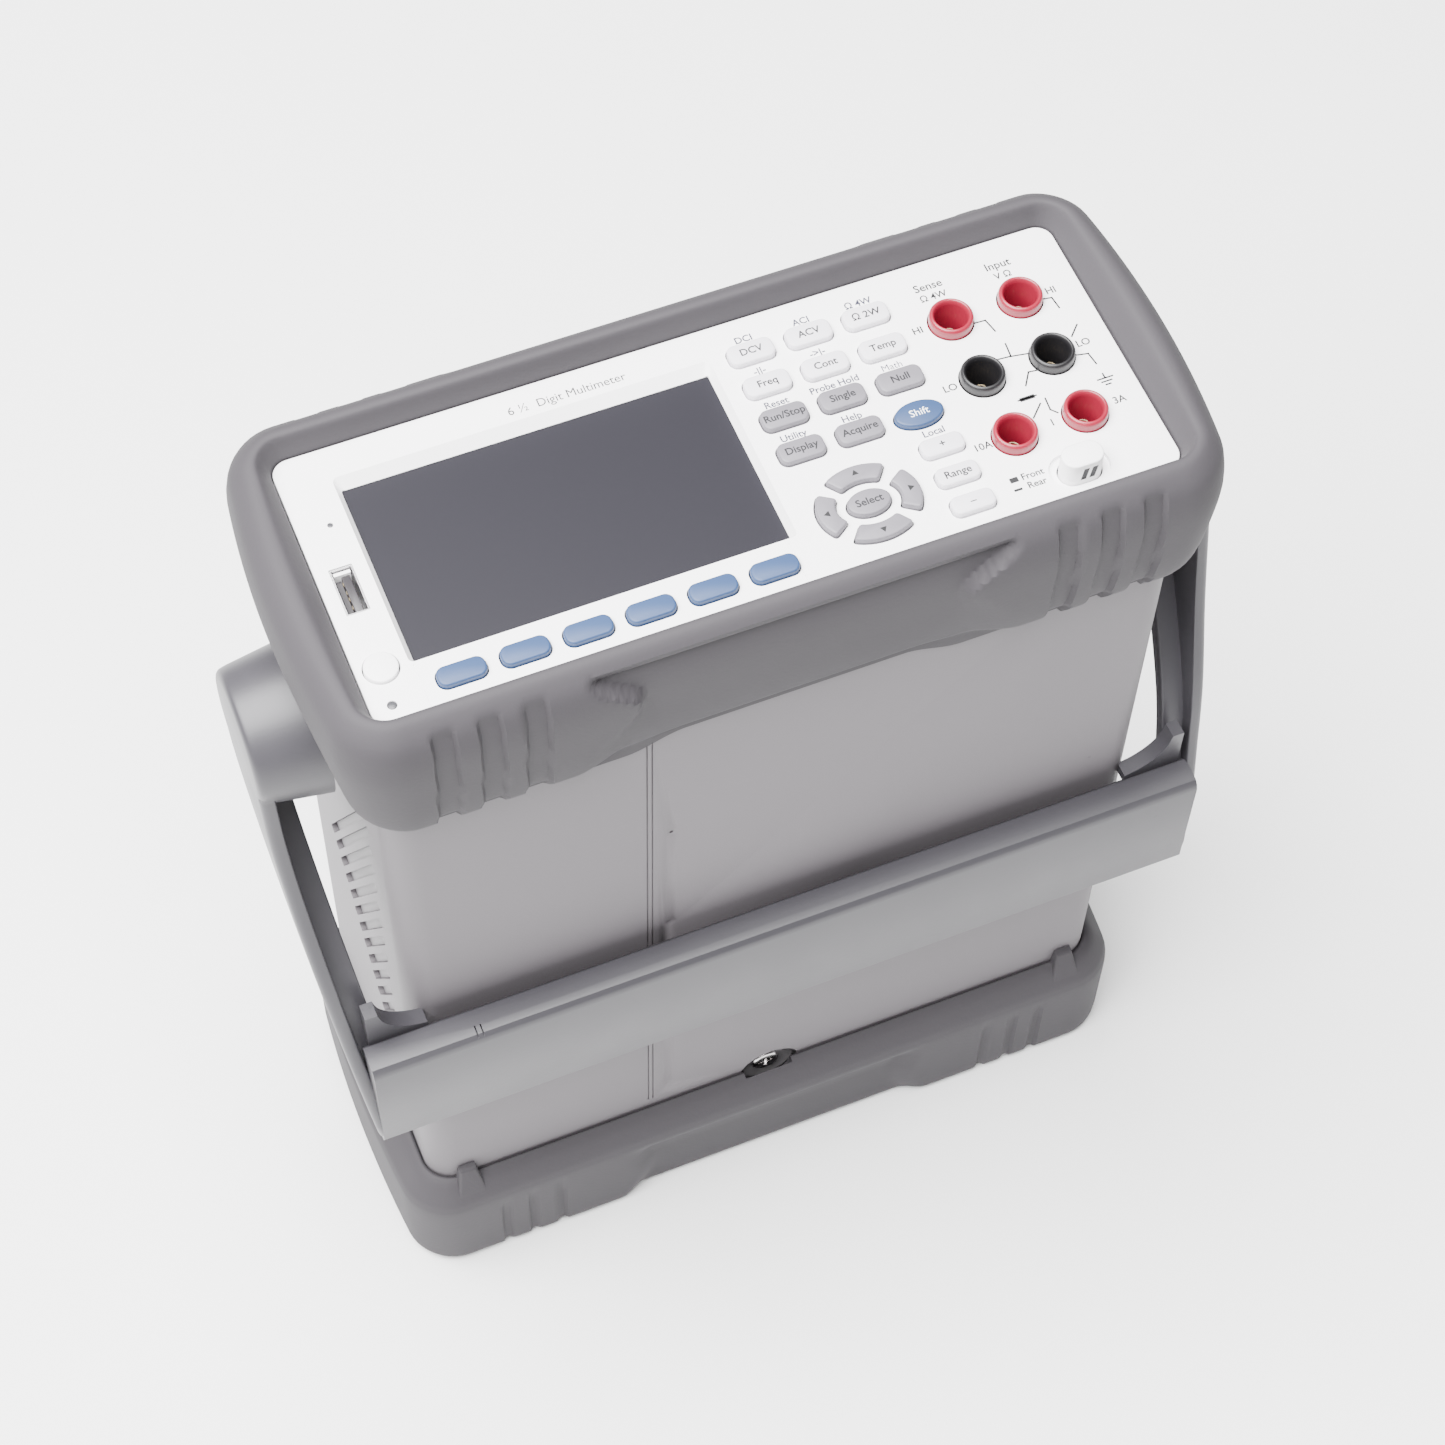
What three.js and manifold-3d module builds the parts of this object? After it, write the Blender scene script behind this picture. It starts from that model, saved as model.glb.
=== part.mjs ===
// Bench multimeter: six input jacks, colour display, key field, rubber end bumpers and a swinging handle.
// Millimetres. X runs to the right along the front panel, -Y is the underside, +Z points out of the panel,
// so the instrument stands on its rear bumper. Inside the group, z = 0 is the face of the front panel.
import * as THREE from "three";
import { mergeVertices } from "three/addons/utils/BufferGeometryUtils.js";
import Module from "manifold-3d";

const wasm = await Module();
wasm.setup();

// ---- driving dimensions -------------------------------------------------------------------------
const CASE_HALF_W = 106.4; // half-rack cabinet, 212.8 wide
const CASE_HALF_H = 44.15; // two rack units, 88.3 high
const CASE_RADIUS = 8.5;
const SHEET = 1.5;
const PANEL_TO_REAR = 291; // panel face to the rear bumper's resting face
const BUMPER_HALF_W = 113.2;
const BUMPER_HALF_H = 51.9; // 103.8 over the bumpers
const LIP = 6.8; // how far the front bumper stands proud of the panel
const JACK_PITCH = 19.05; // spacing of 4 mm banana plugs
const GAP = 0.3; // clearance between touching pieces
const PIVOT_Y = -2;
const PIVOT_Z = -46;
const HUB_RADIUS = 18;
const HUB_FOOT_RADIUS = 20.2; // the hub widens towards the case
const HANDLE_HALF_W = 130.6; // 261.2 over the handle
const GRIP_FRONT = -56.4; // the handle grip's face below the underside
const Y_SHIFT = -(GRIP_FRONT + BUMPER_HALF_H) / 2; // centres the whole height on y = 0

// ---- materials ----------------------------------------------------------------------------------
const finish = (color, roughness = 0.6, metalness = 0) =>
  new THREE.MeshStandardMaterial({ color, roughness, metalness });
const RUBBER_GREY = finish(0x8e8f93, 0.75);
const HANDLE_GREY = finish(0x8b8d92, 0.55);
const SLEEVE_PAINT = finish(0xb4b0b3, 0.5);
const PANEL_WHITE = finish(0xf3f3f5, 0.45);
const KEY_WHITE = finish(0xececee, 0.5);
const KEY_GREY = finish(0xd3d2d6, 0.5);
const KEY_BLUE = finish(0x7f95c0, 0.5);
const LENS = finish(0x5b5a62, 0.15);
const JACK_RED = finish(0xc3303f, 0.4);
const JACK_BLACK = finish(0x2a272a, 0.4);
const STEEL = finish(0xb9bbbf, 0.35, 0.9);
const BOARD_GREEN = finish(0x2f6b45, 0.6);
const DARK_PLASTIC = finish(0x2c2c30, 0.5);
const BRASS = finish(0xb99b57, 0.35, 0.9);
const IRON = finish(0x5d5f66, 0.6, 0.6);

// ---- the group and small tools ------------------------------------------------------------------
const instrument = new THREE.Group();
instrument.position.set(0, Y_SHIFT, PANEL_TO_REAR);

function add(name, geometry, material, x = 0, y = 0, z = 0) {
  const mesh = new THREE.Mesh(geometry, material);
  mesh.name = name;
  mesh.position.set(x, y, z);
  instrument.add(mesh);
  return mesh;
}

function solid(geometry) {
  const bare = geometry.clone();
  bare.deleteAttribute("normal");
  bare.deleteAttribute("uv");
  const welded = mergeVertices(bare, 1e-4);
  return new wasm.Manifold(
    new wasm.Mesh({
      numProp: 3,
      vertProperties: new Float32Array(welded.attributes.position.array),
      triVerts: new Uint32Array(welded.index.array),
    }),
  );
}

function geometryOf(manifold) {
  const mesh = manifold.getMesh();
  const geometry = new THREE.BufferGeometry();
  geometry.setAttribute("position", new THREE.BufferAttribute(new Float32Array(mesh.vertProperties), 3));
  geometry.setIndex(new THREE.BufferAttribute(new Uint32Array(mesh.triVerts), 1));
  return geometry;
}

function joined(...parts) {
  return geometryOf(parts.map(solid).reduce((whole, part) => whole.add(part)));
}

function cut(body, ...tools) {
  const tool = tools.map(solid).reduce((whole, part) => whole.add(part));
  return geometryOf(solid(body).subtract(tool));
}

function box(width, height, depth, x = 0, y = 0, z = 0) {
  return new THREE.BoxGeometry(width, height, depth).translate(x, y, z);
}

// A box given by its lowest and highest corners.
function boxBetween([x0, y0, z0], [x1, y1, z1]) {
  return box(x1 - x0, y1 - y0, z1 - z0, (x0 + x1) / 2, (y0 + y1) / 2, (z0 + z1) / 2);
}

// A round bar of the given length centred on a point, along x, y or z.
function rod(radius, length, axis, x = 0, y = 0, z = 0, sides = 24) {
  const bar = new THREE.CylinderGeometry(radius, radius, length, sides);
  if (axis === "x") bar.rotateZ(Math.PI / 2);
  if (axis === "z") bar.rotateX(Math.PI / 2);
  return bar.translate(x, y, z);
}

function roundedRect(width, height, radius, x = 0, y = 0, Path = THREE.Shape) {
  const path = new Path();
  const [l, r, b, t] = [x - width / 2, x + width / 2, y - height / 2, y + height / 2];
  path.moveTo(l + radius, b);
  path.lineTo(r - radius, b);
  path.absarc(r - radius, b + radius, radius, -Math.PI / 2, 0);
  path.lineTo(r, t - radius);
  path.absarc(r - radius, t - radius, radius, 0, Math.PI / 2);
  path.lineTo(l + radius, t);
  path.absarc(l + radius, t - radius, radius, Math.PI / 2, Math.PI);
  path.lineTo(l, b + radius);
  path.absarc(l + radius, b + radius, radius, Math.PI, 1.5 * Math.PI);
  return path;
}

// A flat shape given thickness from z0 up to z1.
function plate(shape, z0, z1, curveSegments = 4) {
  const settings = { depth: z1 - z0, bevelEnabled: false, curveSegments };
  return new THREE.ExtrudeGeometry(shape, settings).translate(0, 0, z0);
}

function lathe(profile, sides) {
  const points = profile.map(([radius, height]) => new THREE.Vector2(radius, height));
  return new THREE.LatheGeometry(points, sides).rotateX(Math.PI / 2);
}

// ---- bumper outlines: a rounded rectangle whose sides swell outwards at mid height ---------------
function barrelOutline(halfW, halfH, radius, swell) {
  const points = [];
  const ARC_STEPS = 4;
  const SIDE_STEPS = 6;
  const corners = [
    [1, 1, 0],
    [-1, 1, Math.PI / 2],
    [-1, -1, Math.PI],
    [1, -1, 1.5 * Math.PI],
  ];
  corners.forEach(([sx, sy, start], index) => {
    for (let i = 0; i <= ARC_STEPS; i++) {
      const angle = start + (i / ARC_STEPS) * (Math.PI / 2);
      points.push([
        sx * (halfW - radius) + radius * Math.cos(angle),
        sy * (halfH - radius) + radius * Math.sin(angle),
      ]);
    }
    if (index % 2 === 0) {
      for (let i = 1; i < SIDE_STEPS; i++) {
        points.push([sx * (halfW - radius) * (1 - (2 * i) / SIDE_STEPS), sy * halfH]);
      }
    } else {
      for (let i = 1; i < SIDE_STEPS; i++) {
        points.push([sx * halfW, sy * (halfH - radius) * (1 - (2 * i) / SIDE_STEPS)]);
      }
    }
  });
  return points.map(([x, y]) => {
    const side = Math.min(1, Math.abs(x) / halfW) ** 6;
    return [x + Math.sign(x) * swell * side * (1 - (y / halfH) ** 2), y];
  });
}

// One section of a bumper ring at height z.
function outside(halfW, halfH, radius, swell, z) {
  return { points: barrelOutline(halfW, halfH, radius, swell), z };
}

// Joins outlines of equal point count into a closed ring: down the outside and back up the inside.
function ringLoft(sections) {
  const count = sections[0].points.length;
  const positions = sections.flatMap(({ points, z }) => points.flatMap(([x, y]) => [x, y, z]));
  const index = [];
  for (let s = 0; s < sections.length; s++) {
    const next = (s + 1) % sections.length;
    for (let i = 0; i < count; i++) {
      const j = (i + 1) % count;
      const [a, b, c, d] = [s * count + i, s * count + j, next * count + j, next * count + i];
      index.push(a, c, b, a, d, c);
    }
  }
  const geometry = new THREE.BufferGeometry();
  geometry.setAttribute("position", new THREE.Float32BufferAttribute(positions, 3));
  geometry.setIndex(index);
  return geometry;
}

// ---- cover sleeve: folded sheet with slanted cooling slots in both sides --------------------------
const SLEEVE_FRONT = -8;
const SLEEVE_REAR = -276;

function ventSlots(side) {
  const SLANT = THREE.MathUtils.degToRad(61);
  const SLOT_WIDTH = 2.6;
  const PITCH = 9.7;
  const NEAR_Y = -25.5;
  const FIRST_Z = -59.6;
  const SLOT_COUNT = 15;
  const slots = [];
  for (let i = 0; i < SLOT_COUNT; i++) {
    const nearZ = FIRST_Z - i * PITCH;
    const length = (136.1 + 0.635 * nearZ) / 1.041; // the far ends step inwards towards the rear
    const slot = box(8, length, SLOT_WIDTH, 0, length / 2, 0).rotateX(-SLANT);
    slots.push(slot.translate(side * CASE_HALF_W, NEAR_Y, nearZ));
  }
  return slots;
}

function coverSleeve() {
  const outline = roundedRect(2 * CASE_HALF_W, 2 * CASE_HALF_H, CASE_RADIUS);
  const inner = CASE_RADIUS - SHEET;
  const [holeW, holeH] = [2 * (CASE_HALF_W - SHEET), 2 * (CASE_HALF_H - SHEET)];
  outline.holes.push(roundedRect(holeW, holeH, inner, 0, 0, THREE.Path));
  const shell = plate(outline, SLEEVE_REAR, SLEEVE_FRONT, 6);
  const screwNotch = rod(9.5, 8, "y", 0, -CASE_HALF_H, -249, 24);
  const notchTail = box(19, 8, 28, 0, -CASE_HALF_H, -263);
  return cut(shell, ...ventSlots(-1), ...ventSlots(1), screwNotch, notchTail);
}
add("cover_sleeve", coverSleeve(), SLEEVE_PAINT);

const HUB_INNER_X = 112;

// ---- front bumper: a soft ring round the front end, scooped underneath and grooved for grip -------
const PANEL_HALF_W = 103.9;
const PANEL_HALF_H = 40.4;
const GRIP_GROOVES = [68.5, 79.7, 91];
const SCOOP_HALF_W = 44;

function grooveCutters(z0, z1, depth, width) {
  const cutters = [];
  for (const sx of [-1, 1]) {
    for (const sy of [-1, 1]) {
      for (const x of GRIP_GROOVES) {
        const y = sy * (BUMPER_HALF_H - depth / 2 + 2);
        cutters.push(box(width, depth + 4, z1 - z0, sx * x, y, (z0 + z1) / 2));
      }
    }
  }
  return cutters;
}

// Long shallow hollow along the top and the underside, with slanted ends.
function scoopCutter(sy, z0, z1, depth) {
  const y = BUMPER_HALF_H - depth;
  const shape = new THREE.Shape();
  shape.moveTo(-SCOOP_HALF_W, y);
  shape.lineTo(SCOOP_HALF_W, y);
  shape.lineTo(SCOOP_HALF_W + 9, BUMPER_HALF_H + 1);
  shape.lineTo(-SCOOP_HALF_W - 9, BUMPER_HALF_H + 1);
  const cutter = plate(shape, z0, z1);
  if (sy < 0) cutter.rotateZ(Math.PI);
  return cutter;
}

function frontBumper() {
  const innerW = CASE_HALF_W + GAP;
  const innerH = CASE_HALF_H + GAP;
  const ring = ringLoft([
    outside(PANEL_HALF_W + GAP, PANEL_HALF_H + GAP, 5, 0, -4),
    outside(PANEL_HALF_W + GAP, PANEL_HALF_H + GAP, 5, 0, 4.5),
    outside(PANEL_HALF_W + 1.6, PANEL_HALF_H + 1.3, 6, 1, LIP),
    outside(BUMPER_HALF_W - 7.4, BUMPER_HALF_H - 7.6, 10, 4, LIP - 0.4),
    outside(BUMPER_HALF_W - 2.6, BUMPER_HALF_H - 3.2, 12, 5, 2.4),
    outside(BUMPER_HALF_W - 0.6, BUMPER_HALF_H - 0.6, 13, 5.2, -3.5),
    outside(BUMPER_HALF_W, BUMPER_HALF_H, 13, 5.2, -9),
    outside(BUMPER_HALF_W - 1, BUMPER_HALF_H - 0.4, 13, 3.6, -27),
    outside(BUMPER_HALF_W - 3, BUMPER_HALF_H - 2.4, 12, 2.5, -35),
    outside(innerW + 0.8, innerH + 0.8, 9, 0, -42),
    outside(innerW, innerH, CASE_RADIUS + GAP, 0, -42),
    outside(innerW, innerH, CASE_RADIUS + GAP, 0, -4),
  ]);
  const scoops = [scoopCutter(1, -60, 3.4, 3.6), scoopCutter(-1, -60, 3.4, 3.6)];
  const boss = rod(HUB_FOOT_RADIUS + 0.7, 60, "x", 0, PIVOT_Y, PIVOT_Z, 40);
  const hubRelief = [-1, 1].map((side) => boss.clone().translate(side * (HUB_INNER_X - 0.4 + 30), 0, 0));
  const pivotRelief = rod(13.5, 400, "x", 0, PIVOT_Y, PIVOT_Z, 32);
  return cut(ring, ...scoops, ...grooveCutters(-60, 2.5, 1.6, 6), ...hubRelief, pivotRelief);
}
add("front_bumper", frontBumper(), RUBBER_GREY);

// ---- rear bumper: the boot that the instrument stands on, with a ledge and two lugs ---------------
const LEDGE_Z = -246;

function rearBumper() {
  const innerW = CASE_HALF_W + GAP;
  const innerH = CASE_HALF_H + GAP;
  const rim = -PANEL_TO_REAR;
  const ring = ringLoft([
    outside(innerW, innerH, CASE_RADIUS + GAP, 0, LEDGE_Z),
    outside(innerW + 2.6, innerH + 3.2, 10, 1, LEDGE_Z),
    outside(BUMPER_HALF_W - 1.4, BUMPER_HALF_H - 1.4, 13, 2.6, LEDGE_Z - 12),
    outside(BUMPER_HALF_W, BUMPER_HALF_H, 13, 3.4, LEDGE_Z - 19),
    outside(BUMPER_HALF_W, BUMPER_HALF_H, 13, 3.4, rim + 6),
    outside(BUMPER_HALF_W - 2.2, BUMPER_HALF_H - 2.2, 12, 3, rim),
    outside(101.5, 39.5, 8, 0, rim),
    outside(101.5, 39.5, 8, 0, -277.5),
    outside(innerW, innerH, CASE_RADIUS + GAP, 0, -277.5),
  ]);
  const scoops = [scoopCutter(1, -300, -262, 3.2), scoopCutter(-1, -300, -262, 3.2)];
  const screwPocket = rod(10.2, 16, "y", 0, -CASE_HALF_H - 4.2, -249, 24);
  const grooves = grooveCutters(-286, -261, 0.9, 4.5);
  return cut(ring, ...scoops, ...grooves, screwPocket);
}
add("rear_bumper", rearBumper(), RUBBER_GREY);

// ---- handle: two curved arms on round hubs, joined by a flat grip ---------------------------------
const ARM_INNER_X = 120.4; // stays outside the front bumper's swell
const ARM_WALL = 3.9;
const GRIP_TOP_Z = -139;
const GRIP_BOTTOM_Z = -182;
const GRIP_BACK = -46.4;
const ARM_DRAFT = 9.4; // how far the arms lean inwards from hub to grip

// Side view of an arm, drawn on y and z: its front edge, the web's front face and the rear edge.
const ARM_FRONT_EDGE = [
  [-29.5, -91],
  [-40.2, -118],
  [-46.2, -137],
  [-52, -155],
];
const WEB_FACE = [
  [0, -70],
  [-22, -100],
  [-35.8, -122],
  [-43.2, -139],
  [-51, -158],
];
const ARM_REAR_EDGE = [
  [-46.4, -160],
  [-39.5, -140],
  [-32, -123.5],
  [-18.2, -102],
  [-4, -80],
  [9, -64],
];

function toVectors(points) {
  return points.map(([y, z]) => new THREE.Vector2(y, z));
}

function wallShape() {
  const shape = new THREE.Shape();
  shape.moveTo(PIVOT_Y - HUB_RADIUS + 1, PIVOT_Z - 2);
  shape.splineThru(toVectors([...ARM_FRONT_EDGE, [GRIP_FRONT, GRIP_BOTTOM_Z + 8]]));
  shape.lineTo(GRIP_FRONT + 3, GRIP_BOTTOM_Z);
  shape.lineTo(GRIP_BACK, GRIP_BOTTOM_Z);
  shape.splineThru(toVectors([...ARM_REAR_EDGE, [PIVOT_Y + HUB_RADIUS - 2, PIVOT_Z - 2]]));
  return shape;
}

// The web stands inwards from the outer wall along the arm's rear edge.
function webShape() {
  const shape = new THREE.Shape(toVectors(WEB_FACE));
  for (const [y, z] of ARM_REAR_EDGE) shape.lineTo(y, z);
  shape.lineTo(PIVOT_Y + 6, PIVOT_Z - 12);
  return shape;
}

// Turns a plate drawn on (y, z) and thick along x0..x1, then bows it inwards towards the grip.
function sidePlate(shape, x0, x1) {
  const blade = new THREE.ExtrudeGeometry(shape, { depth: x1 - x0, bevelEnabled: false, curveSegments: 2 });
  blade.applyMatrix4(new THREE.Matrix4().set(0, 0, 1, x0, 1, 0, 0, 0, 0, 1, 0, 0, 0, 0, 0, 1));
  const place = blade.attributes.position;
  const armTop = PIVOT_Z - HUB_RADIUS;
  for (let i = 0; i < place.count; i++) {
    const fall = (armTop - place.getZ(i)) / (armTop - GRIP_BOTTOM_Z);
    place.setX(i, place.getX(i) - ARM_DRAFT * THREE.MathUtils.clamp(fall, 0, 1) ** 1.5);
  }
  return blade;
}

function handle() {
  const halves = [];
  for (const side of [-1, 1]) {
    const wall = solid(sidePlate(wallShape(), HANDLE_HALF_W - ARM_WALL, HANDLE_HALF_W));
    const web = solid(sidePlate(webShape(), ARM_INNER_X, HANDLE_HALF_W - 1));
    const hubProfile = [
      [0, HUB_INNER_X],
      [HUB_FOOT_RADIUS, HUB_INNER_X],
      [HUB_RADIUS - 0.4, HANDLE_HALF_W - 1.2],
      [HUB_RADIUS - 1.6, HANDLE_HALF_W],
      [0, HANDLE_HALF_W],
    ];
    const cone = lathe(hubProfile, 36).rotateY(Math.PI / 2).translate(0, PIVOT_Y, PIVOT_Z);
    const bore = solid(rod(9.3, 14, "x", HUB_INNER_X + 5.1, PIVOT_Y, PIVOT_Z, 24));
    const half = wall.add(web).add(solid(cone)).subtract(bore);
    halves.push(side > 0 ? half : half.mirror([1, 0, 0]));
  }
  const reach = HANDLE_HALF_W - ARM_DRAFT - 0.4;
  const shape = new THREE.Shape();
  shape.moveTo(GRIP_BACK, GRIP_BOTTOM_Z);
  shape.lineTo(GRIP_BACK, GRIP_TOP_Z - 1.5);
  shape.lineTo(GRIP_BACK - 5.5, GRIP_TOP_Z);
  shape.absarc(GRIP_FRONT + 3, GRIP_TOP_Z - 3, 3, Math.PI / 2, Math.PI);
  shape.absarc(GRIP_FRONT + 3, GRIP_BOTTOM_Z + 3, 3, Math.PI, 1.5 * Math.PI);
  const grip = new THREE.ExtrudeGeometry(shape, { depth: 2 * reach, bevelEnabled: false, curveSegments: 3 });
  grip.applyMatrix4(new THREE.Matrix4().set(0, 0, 1, -reach, 1, 0, 0, 0, 0, 1, 0, 0, 0, 0, 0, 1));
  return geometryOf(halves[0].add(halves[1]).add(solid(grip)));
}
add("handle", handle(), HANDLE_GREY);

for (const [name, side] of [["handle_pivot_left", -1], ["handle_pivot_right", 1]]) {
  const flange = rod(12.5, 4.4, "x", side * (CASE_HALF_W + GAP + 2.2), PIVOT_Y, PIVOT_Z, 24);
  const pin = rod(8.9, 11.4, "x", side * (CASE_HALF_W + GAP + 4.4 + 5), PIVOT_Y, PIVOT_Z, 24);
  add(name, joined(flange, pin), DARK_PLASTIC);
}

// ---- keys: each cap slides through its own hole in the panel ---------------------------------------
const KEY_STAND = 1.6; // cap above the panel
const KEY_TRAVEL = 1;
const PANEL_THICK = 2.6;
const CAP_BOTTOM = -PANEL_THICK - 1.2;
const MAT_TOP = CAP_BOTTOM - KEY_TRAVEL - GAP;
const KEY_CLEARANCE = 0.35;

// A key is a rounded rectangle, an ellipse or a quarter of the cursor ring; it can grow for its hole.
const keyTable = [];

function rectangularKey(name, x, y, width, height, radius, material) {
  const shape = (grow) => roundedRect(width + 2 * grow, height + 2 * grow, radius + grow);
  keyTable.push({ name, x, y, material, shape });
}

function ellipticalKey(name, x, y, width, height, material) {
  const shape = (grow) => {
    const outline = new THREE.Shape();
    outline.absellipse(0, 0, width / 2 + grow, height / 2 + grow, 0, 2 * Math.PI);
    return outline;
  };
  keyTable.push({ name, x, y, material, shape, curveSegments: 14 });
}

const SOFT_KEY_X = -80.6;
const SOFT_KEY_PITCH = 15.8;
const SOFT_KEY_Y = -33.1;
for (let i = 0; i < 6; i++) {
  rectangularKey(`soft_key_${i + 1}`, SOFT_KEY_X + i * SOFT_KEY_PITCH, SOFT_KEY_Y, 12.2, 5.6, 2.3, KEY_BLUE);
}

const KEY_COLUMNS = [17.9, 33.4, 48.9];
const KEY_ROWS = [28.9, 18.3, 7.6, -3.2];
const functionKeys = [
  ["key_dc_volts", 0, 0, KEY_WHITE],
  ["key_ac_volts", 1, 0, KEY_WHITE],
  ["key_ohms", 2, 0, KEY_WHITE],
  ["key_frequency", 0, 1, KEY_WHITE],
  ["key_continuity", 1, 1, KEY_WHITE],
  ["key_temperature", 2, 1, KEY_WHITE],
  ["key_run_stop", 0, 2, KEY_GREY],
  ["key_single", 1, 2, KEY_GREY],
  ["key_null", 2, 2, KEY_GREY],
  ["key_display", 0, 3, KEY_GREY],
  ["key_acquire", 1, 3, KEY_GREY],
];
for (const [name, column, row, material] of functionKeys) {
  rectangularKey(name, KEY_COLUMNS[column], KEY_ROWS[row], 12, 6.2, 2.1, material);
}
ellipticalKey("key_shift", KEY_COLUMNS[2], KEY_ROWS[3] - 0.6, 12.8, 7.6, KEY_BLUE);
const RANGE_X = 50.3;
rectangularKey("key_range_up", RANGE_X, -14.6, 11.2, 5.4, 1.9, KEY_WHITE);
rectangularKey("key_range", RANGE_X, -23.8, 11.2, 5.4, 1.9, KEY_WHITE);
rectangularKey("key_range_down", RANGE_X, -32.8, 11.2, 5.4, 1.9, KEY_WHITE);

const NAV_X = 26.9;
const NAV_Y = -23.7;
ellipticalKey("key_select", NAV_X, NAV_Y, 11.2, 7.4, KEY_GREY);

// One quarter of the oval cursor ring.
function cursorShape(middle, spread) {
  return (grow) => {
    const outline = new THREE.Shape();
    const from = middle - spread - grow / 12;
    const to = middle + spread + grow / 12;
    const STEPS = 4;
    const [outerX, outerY, innerX, innerY] = [13.4 + grow, 11.2 + grow, 8.4 - grow, 6.4 - grow];
    for (let i = 0; i <= STEPS; i++) {
      const angle = from + ((to - from) * i) / STEPS;
      const point = [outerX * Math.cos(angle), outerY * Math.sin(angle)];
      if (i === 0) outline.moveTo(...point);
      else outline.lineTo(...point);
    }
    for (let i = STEPS; i >= 0; i--) {
      const angle = from + ((to - from) * i) / STEPS;
      outline.lineTo(innerX * Math.cos(angle), innerY * Math.sin(angle));
    }
    return outline;
  };
}
const quarter = Math.PI / 2;
const cursorKeys = [
  ["key_cursor_right", 0, 0.6],
  ["key_cursor_up", quarter, 0.62],
  ["key_cursor_left", 2 * quarter, 0.6],
  ["key_cursor_down", 3 * quarter, 0.62],
];
for (const [name, middle, spread] of cursorKeys) {
  const shape = cursorShape(middle, spread);
  keyTable.push({ name, x: NAV_X, y: NAV_Y, material: KEY_GREY, shape, curveSegments: 2 });
}

const POWER_X = -97.6;
const POWER_Y = -24.8;
ellipticalKey("power_button", POWER_X, POWER_Y, 8.4, 8.4, PANEL_WHITE);

for (const key of keyTable) {
  const stand = key.name === "power_button" ? 0.9 : KEY_STAND;
  const cap = plate(key.shape(0), CAP_BOTTOM, stand, key.curveSegments ?? 2);
  add(key.name, cap, key.material, key.x, key.y, 0);
}

// ---- front/rear input switch: a tall push-push button on a long rod -------------------------------
const SWITCH_X = 79;
const SWITCH_Y = -32.6;
const SWITCH_STAND = 6;
const SWITCH_TRAVEL = 4;
const switchCap = plate(roundedRect(9.6, 6.8, 3.1), -7.5, SWITCH_STAND, 5);
add("input_switch_button", switchCap, PANEL_WHITE, SWITCH_X, SWITCH_Y, 0);
const ROD_FRONT = -7.5 - GAP;
const ROD_REAR = -100;
const switchRod = boxBetween([-2.2, -1.6, ROD_REAR], [2.2, 1.6, ROD_FRONT]);
add("input_switch_rod", switchRod, DARK_PLASTIC, SWITCH_X, SWITCH_Y, 0);

// ---- input jacks: insulated 4 mm sockets -----------------------------------------------------------
const JACK_X = 68.2;
const JACK_TOP_Y = 20;
const JACK_STAND = 3;
const JACK_DEPTH = 19;
const JACK_FLANGE_RADIUS = 5.7;
const JACK_BORE_RADIUS = 3.9;
const jackProfile = [
  [0, -JACK_DEPTH],
  [4.7, -JACK_DEPTH],
  [4.7, -1.2],
  [JACK_FLANGE_RADIUS, -1.2],
  [JACK_FLANGE_RADIUS, JACK_STAND - 0.8],
  [JACK_FLANGE_RADIUS - 0.6, JACK_STAND],
  [JACK_BORE_RADIUS + 0.5, JACK_STAND],
  [JACK_BORE_RADIUS, JACK_STAND - 0.5],
  [JACK_BORE_RADIUS, -JACK_DEPTH + 2],
  [0, -JACK_DEPTH + 2],
];
const jacks = [
  ["jack_sense_hi", 0, 0, JACK_RED],
  ["jack_input_hi", 1, 0, JACK_RED],
  ["jack_sense_lo", 0, 1, JACK_BLACK],
  ["jack_input_lo", 1, 1, JACK_BLACK],
  ["jack_10a", 0, 2, JACK_RED],
  ["jack_3a", 1, 2, JACK_RED],
];
for (const [name, column, row, material] of jacks) {
  add(name, lathe(jackProfile, 16), material, JACK_X + column * JACK_PITCH, JACK_TOP_Y - row * JACK_PITCH, 0);
}

// ---- front panel: moulded plate with a hole for every key, jack, window and socket -----------------
const WINDOW_X = -41.7;
const WINDOW_Y = 1.4;
const WINDOW_W = 95.6;
const WINDOW_H = 53.6;
const WINDOW_DEPTH = 2.4;
const USB_X = -97.3;
const USB_Y = -1.2;

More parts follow.
